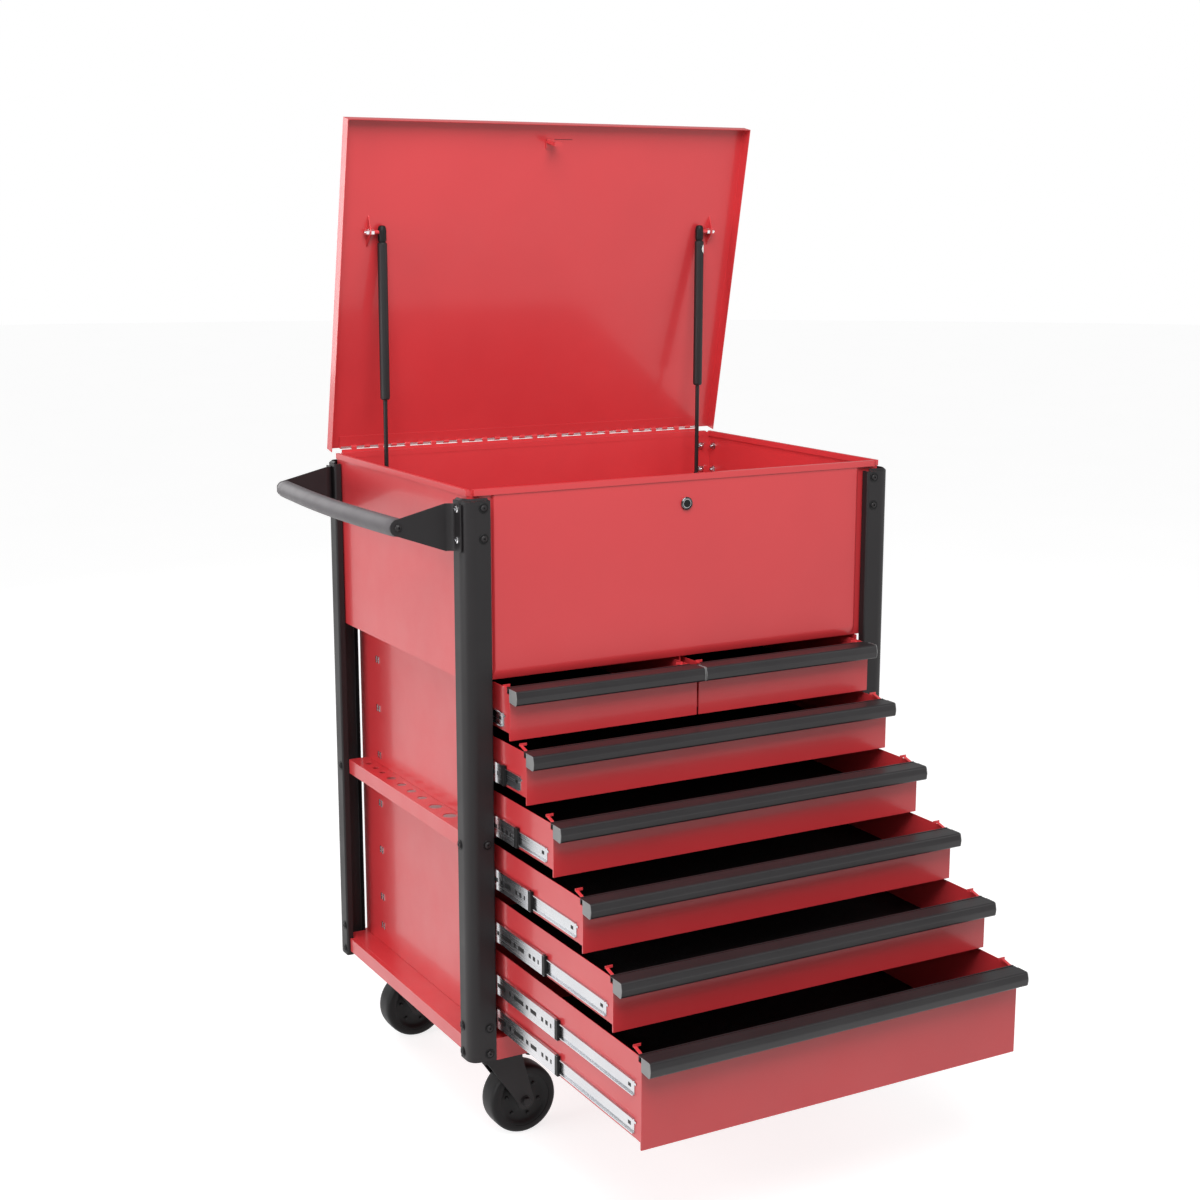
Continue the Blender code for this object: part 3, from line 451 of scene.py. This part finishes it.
def add_hex_nut(shape, position, direction, across=0.010, height=0.005, stud=0.003):
    place = aimed(position, direction, 0.3)
    radius = across / math.sqrt(3)
    turned(shape, [(0, 0.0), (radius * 1.35, 0.0), (radius * 1.35, 0.0010), (radius, 0.0011, 6),
                   (radius, height - 0.0006, 6), (radius * 0.86, height), (stud, height),
                   (stud, height + 0.0025), (stud * 0.8, height + 0.003), (0, height + 0.003)],
           place, 36)


def make_box_nuts():
    nuts = bmesh.new()
    for side in (-1, 1):
        for z in (1.139, 1.090):
            for y in (0.020, 0.566):
                add_hex_nut(nuts, (side * 0.4143, y, z), (-side, 0, 0))
            add_hex_nut(nuts, (side * 0.392, 0.5813, z), (0, -1, 0))
            add_hex_nut(nuts, (side * 0.394, 0.0088, z), (0, 1, 0))
    finish("box_corner_nuts", nuts, "cabinet", ZINC)


# Handle: a smooth foam grip with eased ends, its screws on the bracket flange, and a screw in each
# end of the grip.

def make_handle():
    grip = bmesh.new()
    low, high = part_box("handle_grip")
    inverse = CARCASS.inverted()
    y0, y1 = (inverse @ low).y, (inverse @ high).y
    steps, sides = 60, 40
    rows = []
    for i in range(steps + 1):
        t = i / steps
        y = y0 + 0.0003 + (y1 - y0 - 0.0006) * t
        x = GRIP_X - GRIP_BOW * math.sin(math.pi * t)
        edge = min(t, 1 - t) * (y1 - y0)
        reach = GRIP_RADIUS - 0.0018 * max(0.0, 1 - edge / 0.002) ** 2
        rows.append([grip.verts.new((x + reach * math.cos(2 * math.pi * k / sides), y,
                                     GRIP_Z + reach * math.sin(2 * math.pi * k / sides)))
                     for k in range(sides)])
    for a, b in zip(rows, rows[1:]):
        for k in range(sides):
            grip.faces.new((a[k], a[(k + 1) % sides], b[(k + 1) % sides], b[k]))
    grip.faces.new(rows[0])
    grip.faces.new(rows[-1])
    finish("handle_grip_foam", grip, "cabinet", GRIP, replaced=("handle_grip",))
    heads = bmesh.new()
    for y in (0.0080, 0.5820):
        for z in (1.139, 1.0885):
            place = aimed((-0.4336, y, z), (-1, 0, 0))
            turned(heads, [(0, 0.0), (0.0056, 0.0), (0.0058, 0.0010), (0.0050, 0.0022),
                           (0.0030, 0.0029), (0.0021, 0.0029, 6), (0.0019, 0.0012, 6), (0, 0.0012)],
                   place, 30)
    finish("handle_screws", heads, "cabinet", CHROME)
    ends = bmesh.new()
    for y, out in ((y0, -1), (y1, 1)):
        place = aimed((GRIP_X, y + out * 0.0028, GRIP_Z), (0, out, 0))
        turned(ends, [(0, 0.0), (0.0062, 0.0), (0.0064, 0.0012), (0.0052, 0.0030),
                      (0.0032, 0.0040), (0.0023, 0.0040, 6), (0.0021, 0.0018, 6), (0, 0.0018)],
               place, 30)
    finish("handle_end_screws", ends, "cabinet", BLACK)


# Drawers: rounded pulls with end caps, liners, catch flags, slide ends.

def pull_section():
    height = PULL_HEIGHT
    corners = [(0.0084, height - 0.009), (0.0084, height - 0.0009), (-0.0245, height - 0.0009),
               (-0.0270, height * 0.52), (-0.0256, 0.0009), (-0.0189, 0.0009)]
    return folded(corners, (0.0016, 0.0035, 0.0090, 0.0040), 0.0018, 8)


def cap_outline():
    height = PULL_HEIGHT + 0.0002
    return [tuple(p) for p in filleted(
        [(-0.0006, height * 0.5), (-0.0006, height), (-0.0252, height), (-0.0282, height * 0.5),
         (-0.0262, -0.0002), (-0.0006, 0.0022), (-0.0006, height * 0.5)],
        (0.0008, 0.0046, 0.0100, 0.0046, 0.0010), 6)[:-1]]


def drawer_list():
    """Name, row, and the x range of the front and of the tray."""
    yield "drawer_1_left", 1, (-TRAY_HALF, -0.002), (-TRAY_HALF, -0.011)
    yield "drawer_1_right", 1, (0.002, TRAY_HALF), (0.011, TRAY_HALF)
    for row in range(2, 7):
        yield f"drawer_{row}", row, (-TRAY_HALF, TRAY_HALF), (-TRAY_HALF, TRAY_HALF)


def slide_centres(row):
    """Heights of a row's slides above its bottom: the deep drawer has two pairs."""
    return (SLIDE_CENTRE, UPPER_SLIDE_CENTRE) if row == DEEP_ROW else (SLIDE_CENTRE,)


def make_drawer_details():
    for name, row, front, tray in drawer_list():
        bottom, face = ROW_BOTTOM[row], -FACE_OUT[row]
        height = DEEP_TRAY_HEIGHT if row == DEEP_ROW else TRAY_HEIGHT
        here = CARCASS @ Matrix.Translation((0, face, bottom))
        lift = Matrix.Translation((0, 0, height - PULL_HEIGHT))
        shape = bmesh.new()
        extruded(shape, pull_section(), front[0] + 0.0001, front[1] - 0.0001, "X", 0.00025, lift)
        block(shape, (tray[0] + 0.0002, 0.0085, height - 0.0003),
              (tray[1] - 0.0002, 0.0117, height + 0.0006), 0.0002)
        finish(f"{name}_pull_bar", shape, name, PULL, here,
               replaced=(f"{name}_pull",))
        shape = bmesh.new()
        # End caps in the light grey that is painted light from the left.
        for x, side in ((front[0], -1), (front[1], 1)):
            extruded(shape, cap_outline(), x + side * 0.0001, x + side * 0.0013, "X", 0.0003, lift)
        finish(f"{name}_pull_ends", shape, name, LIT_END_CAP, here)
        shape = bmesh.new()
        block(shape, (tray[0] + 0.0022, 0.0128, 0.0144), (tray[1] - 0.0022, 0.5428, 0.0164), 0.0004)
        finish(f"{name}_liner", shape, name, LINER, here)
        shape = bmesh.new()
        # The box's front flange passes close over the top row, so its flags stay low.
        top = height + (-0.0082 if row == 1 else 0.0)
        for x, side in ((tray[0], 1), (tray[1], -1)):
            tongue = folded([(0.0126, top - 0.0080), (0.0136, top + 0.0006),
                             (0.0300, top + 0.0050), (0.0300, top + 0.0080)],
                            (0.0015, 0.0015), 0.0011, 4)
            low, high = sorted((x + side * 0.0030, x + side * 0.0085))
            extruded(shape, tongue, low, high, "X", 0.0002)
            low, high = sorted((x + side * 0.0022, x + side * 0.0160))
            block(shape, (low, 0.0293, top + 0.0042), (high, 0.0307, top + 0.0088), 0.0003)
        finish(f"{name}_catch_flags", shape, name, RED, here)
        refined(name)


def make_slide_details():
    covers = bmesh.new()
    for row, centre in [(row, centre) for row in range(1, 7) for centre in slide_centres(row)]:
        half = 0.0175 if row == 1 else 0.0225
        z = ROW_BOTTOM[row] + centre
        tip = 0.3694 if row == 1 else 0.3688
        for side in (-1, 1):
            outline = [(side * x, z + h) for x, h in (
                (0.3766, half + 0.0002), (tip, half + 0.0002), (tip, half - 0.0014),
                (0.3751, half - 0.0014), (0.3751, -half + 0.0014), (tip, -half + 0.0014),
                (tip, -half - 0.0002), (0.3766, -half - 0.0002))]
            extruded(covers, outline, 0.0158, 0.5662, "Y", 0.0001)
    finish("slide_outer_rails", covers, "cabinet", ZINC)
    for row in range(2, 7):
        shift = -(FACE_OUT[row] + 0.003) / 2
        ends, slot_shades = bmesh.new(), bmesh.new()
        for centre in slide_centres(row):
            z = ROW_BOTTOM[row] + centre
            for side in (-1, 1):
                low, high = sorted((side * 0.3684, side * 0.3744))
                block(ends, (low, 0.0198 + shift, z - 0.0177), (high, 0.0300 + shift, z + 0.0177),
                      0.0010)
                # Black patches on the middle members are painted shade: the dark seen in their
                # slots, made larger to darken the members where they lie in shade.
                for y, length in ((0.040, 0.005), (0.053, 0.009), (0.069, 0.008), (0.094, 0.022),
                                  (0.124, 0.009), (0.142, 0.036), (0.188, 0.008), (0.210, 0.030),
                                  (0.262, 0.020)):
                    low, high = sorted((side * 0.3728, side * 0.3745))
                    block(slot_shades, (low, y + shift, z - 0.0040),
                          (high, y + shift + length, z + 0.0040), 0.0008)
        finish(f"slides_{row}_ends", ends, f"slides_{row}", PLASTIC)
        finish(f"slides_{row}_slots", slot_shades, f"slides_{row}", PLASTIC)


def make_panel_tabs():
    """Ends of the fixed slides' lugs, hooked out through slots in the side panels."""
    tabs = bmesh.new()
    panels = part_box("side_panel_left"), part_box("side_panel_right")
    for side, (low, high) in zip((-1, 1), panels):
        skin = (low.x if side < 0 else high.x) - CARCASS.translation.x
        for z in (0.783, 0.688, 0.595, 0.499, 0.405, 0.309, 0.250):
            for y in (0.490, 0.500):
                near, far = sorted((skin - side * 0.0002, skin + side * 0.0016))
                block(tabs, (near, y, z - 0.0065), (far, y + 0.0050, z + 0.0065), 0.0004)
    finish("slide_lugs", tabs, "cabinet", ZINC)


def make_inner_rails():
    """The drawer members are part of each drawer's solid, so a bright skin covers them."""
    for name, row, _, tray in drawer_list():
        here = CARCASS @ Matrix.Translation((0, -FACE_OUT[row], ROW_BOTTOM[row]))
        skin, dark = bmesh.new(), bmesh.new()
        for x, side in ((tray[0], -1), (tray[1], 1)):
            out = abs(x) < 0.1
            for centre in slide_centres(row):
                def at(depth, h):
                    return (x + side * depth, centre + h)
                outline = [at(0.0001, 0.0127), at(0.0047, 0.0127), at(0.0047, 0.0111),
                           at(0.0012, 0.0111), at(0.0012, -0.0111), at(0.0047, -0.0111),
                           at(0.0047, -0.0127), at(0.0001, -0.0127)]
                extruded(skin, outline, 0.0198, 0.5202, "Y", 0.0001)
                if out:
                    continue
                low, high = sorted((x + side * 0.0002, x + side * 0.0015))
                block(skin, (low, 0.0150, centre + 0.0045), (high, 0.0202, centre + 0.0085), 0.0003)
                low, high = sorted((x + side * 0.0008, x + side * 0.0014))
                # The black patch on each rail is painted shade, standing for a slot in the rail.
                block(dark, (low, 0.0300, centre - 0.0030), (high, 0.0385, centre + 0.0030), 0.0002)
        finish(f"{name}_inner_rails", skin, name, ZINC, here)
        finish(f"{name}_rail_slots", dark, name, PLASTIC, here)


# Lid: the knuckled hinge, strut ends, lock and hook detail.

KNUCKLE, KNUCKLE_PITCH = 0.0110, 0.0276
HINGE_FROM, HINGE_TO = -0.403, 0.390


def knuckle_starts(first):
    """Left ends of every second knuckle; the first window is centred 39 mm in from the left."""
    start = HINGE_FROM + 0.0390 - KNUCKLE_PITCH / 2 - KNUCKLE / 2 + first * KNUCKLE_PITCH
    while start + KNUCKLE < HINGE_TO:
        yield start
        start += 2 * KNUCKLE_PITCH


def knuckle_ring(shape, start, place):
    ring_turned(shape, [(0.0017, 0), (0.0032, 0), (0.0034, 0.0003), (0.0034, KNUCKLE - 0.0003),
                        (0.0032, KNUCKLE), (0.0017, KNUCKLE)],
                place @ aimed((start, 0, 0), (1, 0, 0)), 24)


def make_hinge():
    pin_place = Matrix.Translation((0, *LID_PIN))
    leaf = bmesh.new()
    block(leaf, (HINGE_FROM, 0.5905, 1.1546), (HINGE_TO, 0.5921, 1.1752), 0.0003)
    for start in knuckle_starts(0):
        knuckle_ring(leaf, start, pin_place)
        block(leaf, (start + 0.0004, 0.5907, 1.1745), (start + KNUCKLE - 0.0004, 0.5921, 1.1795),
              0.0002)
    finish("hinge_leaf_box_sheet", leaf, "cabinet", RED, replaced=("hinge_leaf_box",))
    pin = bmesh.new()
    length = HINGE_TO - HINGE_FROM
    turned(pin, [(0, 0.0), (0.0012, 0.0), (0.0015, 0.0004), (0.0015, length - 0.0004),
                 (0.0012, length), (0, length)],
           pin_place @ aimed((HINGE_FROM, 0, 0), (1, 0, 0)), 20)
    finish("hinge_pin", pin, "cabinet", CHROME)
    leaf = bmesh.new()
    block(leaf, (HINGE_FROM, -0.0180, 0.0104), (HINGE_TO, 0.0042, 0.0116), 0.0003)
    block(leaf, (HINGE_FROM, 0.0030, 0.0036), (HINGE_TO, 0.0042, 0.0112), 0.0002)
    for start in knuckle_starts(1):
        knuckle_ring(leaf, start, Matrix())
        block(leaf, (start + 0.0004, 0.0022, -0.0004), (start + KNUCKLE - 0.0004, 0.0036, 0.0042),
              0.0002)
    finish("hinge_leaf_lid_sheet", leaf, "lid", RED, LID,
           replaced=("hinge_leaf_lid",))


def make_struts():
    for side, word in ((-1, "left"), (1, "right")):
        x = side * STRUT_X
        top = CARCASS.inverted() @ (LID @ Vector((x, *STRUT_TOP)))
        low = Vector((x, *STRUT_FOOT))
        length = (low - top).length
        place = aimed(top, low - top)
        tube = bmesh.new()
        turned(tube, [(0, 0.0190), (0.0072, 0.0190), (0.0086, 0.0200), (0.0090, 0.0215),
                      (0.0090, 0.3030), (0.0084, 0.3060), (0.0062, 0.3078), (0.0046, 0.3080),
                      (0.0046, 0.3000), (0, 0.3000)], place, 40)
        finish(f"strut_tube_skin_{word}", tube, f"strut_tube_{word}", BLACK,
               replaced=(f"strut_cylinder_{word}",))
        socket = bmesh.new()
        turned(socket, [(0, -0.0122), (0.0038, -0.0120), (0.0062, -0.0105), (0.0076, -0.0070),
                        (0.0080, -0.0020), (0.0080, 0.0130), (0.0074, 0.0165), (0.0066, 0.0176),
                        (0.0066, 0.0188), (0.0082, 0.0192), (0.0084, 0.0212), (0.0070, 0.0220),
                        (0, 0.0220)], place, 32)
        finish(f"strut_socket_top_{word}", socket, f"strut_tube_{word}", PLASTIC)
        rod = bmesh.new()
        turned(rod, [(0, 0.2870), (0.0040, 0.2870), (0.0040, length - 0.0190),
                     (0.0034, length - 0.0185), (0, length - 0.0185)], place, 32)
        finish(f"strut_rod_skin_{word}", rod, f"strut_piston_{word}", BLACK,
               replaced=(f"strut_rod_{word}",))
        foot = bmesh.new()
        turned(foot, [(0, length + 0.0110), (0.0036, length + 0.0108), (0.0060, length + 0.0094),
                      (0.0074, length + 0.0060), (0.0076, length), (0.0076, length - 0.0130),
                      (0.0060, length - 0.0190), (0.0052, length - 0.0240), (0, length - 0.0240)],
               place, 32)
        finish(f"strut_socket_foot_{word}", foot, f"strut_piston_{word}", PLASTIC)
        if side > 0:
            make_round_label(place)
        studs = bmesh.new()
        stud = aimed((side * 0.3505, *STRUT_TOP), (side, 0, 0))
        turned(studs, [(0, 0.0), (0.0036, 0.0), (0.0036, 0.0090), (0.0058, 0.0092, 6),
                       (0.0058, 0.0160, 6), (0, 0.0160)], stud, 30)
        turned(studs, [(0, 0.0190), (0.0062, 0.0190), (0.0062, 0.0200), (0.0054, 0.0202, 6),
                       (0.0054, 0.0242, 6), (0.0030, 0.0246), (0.0030, 0.0268), (0.0022, 0.0276),
                       (0, 0.0276)], stud, 30)
        finish(f"strut_stud_top_{word}", studs, "lid", CHROME, LID)
        studs = bmesh.new()
        turned(studs, [(0, 0.0), (0.0034, 0.0), (0.0034, 0.0040), (0.0056, 0.0042, 6),
                       (0.0056, 0.0072, 6), (0, 0.0072)],
               aimed((side * 0.3515, *STRUT_FOOT), (side, 0, 0)), 30)
        finish(f"strut_stud_foot_{word}", studs, "cabinet", CHROME)


def make_round_label(place):
    """A blank round label wrapped on the right strut's tube, near its top."""
    shape = bmesh.new()
    rings, spokes, radius = 5, 36, 0.0098
    centre_turn, centre_down = math.radians(200), 0.0345
    middle = (0.0, 0.0)
    rows = [[middle]]
    for ring in range(1, rings + 1):
        rows.append([(radius * ring / rings * math.cos(2 * math.pi * k / spokes),
                      radius * ring / rings * math.sin(2 * math.pi * k / spokes))
                     for k in range(spokes)])

    def wrap(point, reach):
        turn = centre_turn + point[0] / 0.0090
        return place @ Vector((reach * math.cos(turn), reach * math.sin(turn),
                               centre_down + point[1]))
    skins = []
    for reach in (0.00925, 0.00905):
        skins.append([[shape.verts.new(wrap(p, reach)) for p in row] for row in rows])
    for skin in skins:
        for low, high in zip(skin, skin[1:]):
            for k in range(spokes):
                ring = [low[k % len(low)], low[(k + 1) % spokes % len(low)], high[(k + 1) % spokes],
                        high[k]]
                shape.faces.new([v for i, v in enumerate(ring) if v not in ring[:i]])
    outer, inner = skins[0][-1], skins[1][-1]
    for k in range(spokes):
        shape.faces.new((outer[k], outer[(k + 1) % spokes], inner[(k + 1) % spokes], inner[k]))
    finish("strut_label_blank", shape, "strut_tube_right", PAPER)


def make_lock():
    place = aimed((0.002, 0.0020, 1.119), (0, -1, 0))
    ring = bmesh.new()
    ring_turned(ring, [(0.0072, 0.0004), (0.0110, 0.0004), (0.0115, 0.0012), (0.0112, 0.0030),
                       (0.0100, 0.0040), (0.0078, 0.0036), (0.0072, 0.0024)], place, 48)
    finish("lock_bezel", ring, "lock", DARK_CHROME)
    plug = bmesh.new()
    turned(plug, [(0, 0.0030), (0.0071, 0.0030), (0.0071, 0.0033), (0.0066, 0.0037),
                  (0, 0.0037)], place, 40)
    finish("lock_plug", plug, "lock", PLASTIC)
    slot = bmesh.new()
    block(slot, (-0.0007, -0.0042, 0.0036), (0.0007, 0.0042, 0.0039), 0.0001, place)
    finish("lock_keyway", slot, "lock", RUBBER)


def make_lid_details():
    shape = bmesh.new()
    # A thin black strip on the lid is painted shade for the hook's slit.
    block(shape, (0.0006, -0.5835, 0.01165), (0.0400, -0.5828, 0.01195), 0.0001)
    finish("lid_hook_slit_shade", shape, "lid", PLASTIC, LID)


# Casters: tyres with rounded shoulders, hubs, axle nuts, plate bolts and swivel races.

def add_axle_nuts(shape, x, y):
    """The nut on each end of one caster's axle."""
    for out in (-1, 1):
        turned(shape, [(0, 0.0), (0.0096, 0.0), (0.0096, 0.0012), (0.0080, 0.0013, 6),
                       (0.0080, 0.0058, 6), (0.0066, 0.0064), (0, 0.0064)],
               aimed((x, y + out * 0.0306, AXLE_Z), (0, out, 0)), 36)


def make_casters():
    hub_face = [(0.0066, -0.0235), (0.0140, -0.0235), (0.0160, -0.0215), (0.0180, -0.0200),
                (0.0260, -0.0165), (0.0380, -0.0165), (0.0430, -0.0195), (0.0470, -0.0222),
                (0.0500, -0.0222)]
    core = hub_face + [(r, -y) for r, y in reversed(hub_face)]
    shoulder = [(0.0500, -0.0232), (0.0545, -0.0240), (0.0585, -0.0235), (0.0612, -0.0215),
                (0.0628, -0.0180), (0.0634, -0.0120), (0.0635, -0.0040)]
    tyre = shoulder + [(r, -y) for r, y in reversed(shoulder)]
    for body, x, y in (("wheel_front_left", TRAILING_X, CASTER_Y["front"]),
                       ("wheel_rear_left", TRAILING_X, CASTER_Y["rear"]),
                       ("wheel_front_right", RIGID_X, CASTER_Y["front"]),
                       ("wheel_rear_right", RIGID_X, CASTER_Y["rear"])):
        place = aimed((x, y, AXLE_Z), (0, 1, 0))
        shape = bmesh.new()
        ring_turned(shape, core, place, 64)
        for k in range(6):
            turn = math.radians(60 * k + 12)
            for face in (-1, 1):
                spot = Vector((0.032 * math.cos(turn), 0.032 * math.sin(turn), face * 0.0165))
                turned(shape, [(0, 0.0), (0.0034, 0.0), (0.0030, 0.0022), (0.0018, 0.0028),
                               (0, 0.0028)], place @ aimed(spot, (0, 0, face)), 20)
        finish(f"{body}_hub", shape, body, PLASTIC)
        shape = bmesh.new()
        ring_turned(shape, tyre, place, 96)
        finish(f"{body}_tyre", shape, body, RUBBER, replaced=(body,))
    for end, y in CASTER_Y.items():
        races = bmesh.new()
        place = aimed((SWIVEL_X, y, 0.171), (0, 0, -1))
        ring_turned(races, [(0.0300, 0.0042), (0.0385, 0.0042), (0.0410, 0.0060), (0.0405, 0.0085),
                            (0.0375, 0.0098), (0.0300, 0.0098)], place, 64)
        finish(f"caster_race_{end}", races, f"fork_{end}", BLACK)
        nuts = bmesh.new()
        add_axle_nuts(nuts, TRAILING_X, y)
        finish(f"caster_axle_nuts_{end}_left", nuts, f"fork_{end}", BLACK)
        bolts = bmesh.new()
        add_axle_nuts(bolts, RIGID_X, y)
        for centre_x in (SWIVEL_X, RIGID_X):
            for dx in (-0.042, 0.042):
                for dy in (-0.047, 0.047):
                    turned(bolts, [(0, 0.0), (0.0085, 0.0), (0.0085, 0.0012), (0.0066, 0.0013, 6),
                                   (0.0066, 0.0060, 6), (0.0054, 0.0066), (0, 0.0066)],
                           aimed((centre_x + dx, y + dy, 0.1669), (0, 0, -1)), 36)
        finish(f"caster_bolts_{end}", bolts, "cabinet", BLACK)


make_posts()
make_post_screws()
make_box_nuts()
make_handle()
make_drawer_details()
make_slide_details()
make_panel_tabs()
make_inner_rails()
make_hinge()
make_struts()
make_lock()
make_lid_details()
make_casters()
for sheet_node in ("top_box", "lid", "base_tray", "tool_rack_left", "side_panel_left",
                   "side_panel_right", "handle_bracket_front", "handle_bracket_rear",
                   "caster_fork_front_left", "caster_fork_rear_left",
                   "caster_bracket_front_right", "caster_bracket_rear_right", "back_panel"):
    refined(sheet_node)


# Floor, light and camera.

def make_stage():
    bpy.ops.mesh.primitive_plane_add(size=60, location=(0, 0, 0))
    floor = bpy.context.object
    floor.name = "studio_floor"
    # Part of the floor's light is its own, so that it stays nearly white in the drawers' shade.
    look = material("floor_pale", (0.40, 0.40, 0.40), 0.6)
    where = coordinates(look)
    vary_colour(look, noise(look, where, 1.5, 3.0), (0.40, 0.40, 0.40), (0.38, 0.38, 0.38))
    glow = look.node_tree.nodes["Principled BSDF"]
    glow.inputs["Emission Color"].default_value = (1, 1, 1, 1)
    glow.inputs["Emission Strength"].default_value = 0.80
    floor.data.materials.append(look)
    floor.visible_diffuse = False
    bpy.ops.mesh.primitive_uv_sphere_add(radius=29, segments=64, ring_count=32)
    backdrop = bpy.context.object
    backdrop.name = "studio_backdrop"
    look = material("backdrop_white", (0, 0, 0), 1.0, specular=0.0)
    glow = look.node_tree.nodes["Principled BSDF"]
    glow.inputs["Emission Color"].default_value = (1, 1, 1, 1)
    glow.inputs["Emission Strength"].default_value = 1.0
    backdrop.data.materials.append(look)
    backdrop.visible_diffuse = backdrop.visible_glossy = backdrop.visible_shadow = False
    world = bpy.data.worlds.new("studio")
    world.use_nodes = True
    background = world.node_tree.nodes["Background"]
    background.inputs["Color"].default_value = (1.0, 1.0, 1.0, 1)
    background.inputs["Strength"].default_value = 0.36
    scene.world = world
    for name, place, target, size, power in (
            ("key", (-0.8, -1.7, 3.3), (0, 0.1, 0.9), 2.2, 104),
            ("left", (-4.0, 0.2, 1.8), (0, 0, 0.8), 2.6, 85),
            ("right", (3.2, -2.2, 2.2), (0, 0, 0.8), 2.2, 22),
            ("back", (-1.4, 4.4, 2.3), (0, 0.3, 0.8), 2.8, 62)):
        data = bpy.data.lights.new(name, "AREA")
        data.shape = "RECTANGLE"
        data.size = data.size_y = size
        data.energy = power
        lamp = bpy.data.objects.new(name, data)
        lamp.location = place
        aim = Vector(target) - Vector(place)
        lamp.rotation_euler = aim.to_track_quat("-Z", "Y").to_euler()
        scene.collection.objects.link(lamp)


def make_camera():
    data = bpy.data.cameras.new("camera")
    data.lens = 57.22
    data.sensor_width = 36
    data.clip_end = 100
    camera = bpy.data.objects.new("camera", data)
    camera.location = CARCASS @ Vector((-1.7228, -2.7992, 1.5980))
    camera.rotation_euler = (math.radians(78.804), 0, math.radians(-29.008))
    scene.collection.objects.link(camera)
    scene.camera = camera


make_stage()
make_camera()
scene.view_settings.view_transform = "Standard"
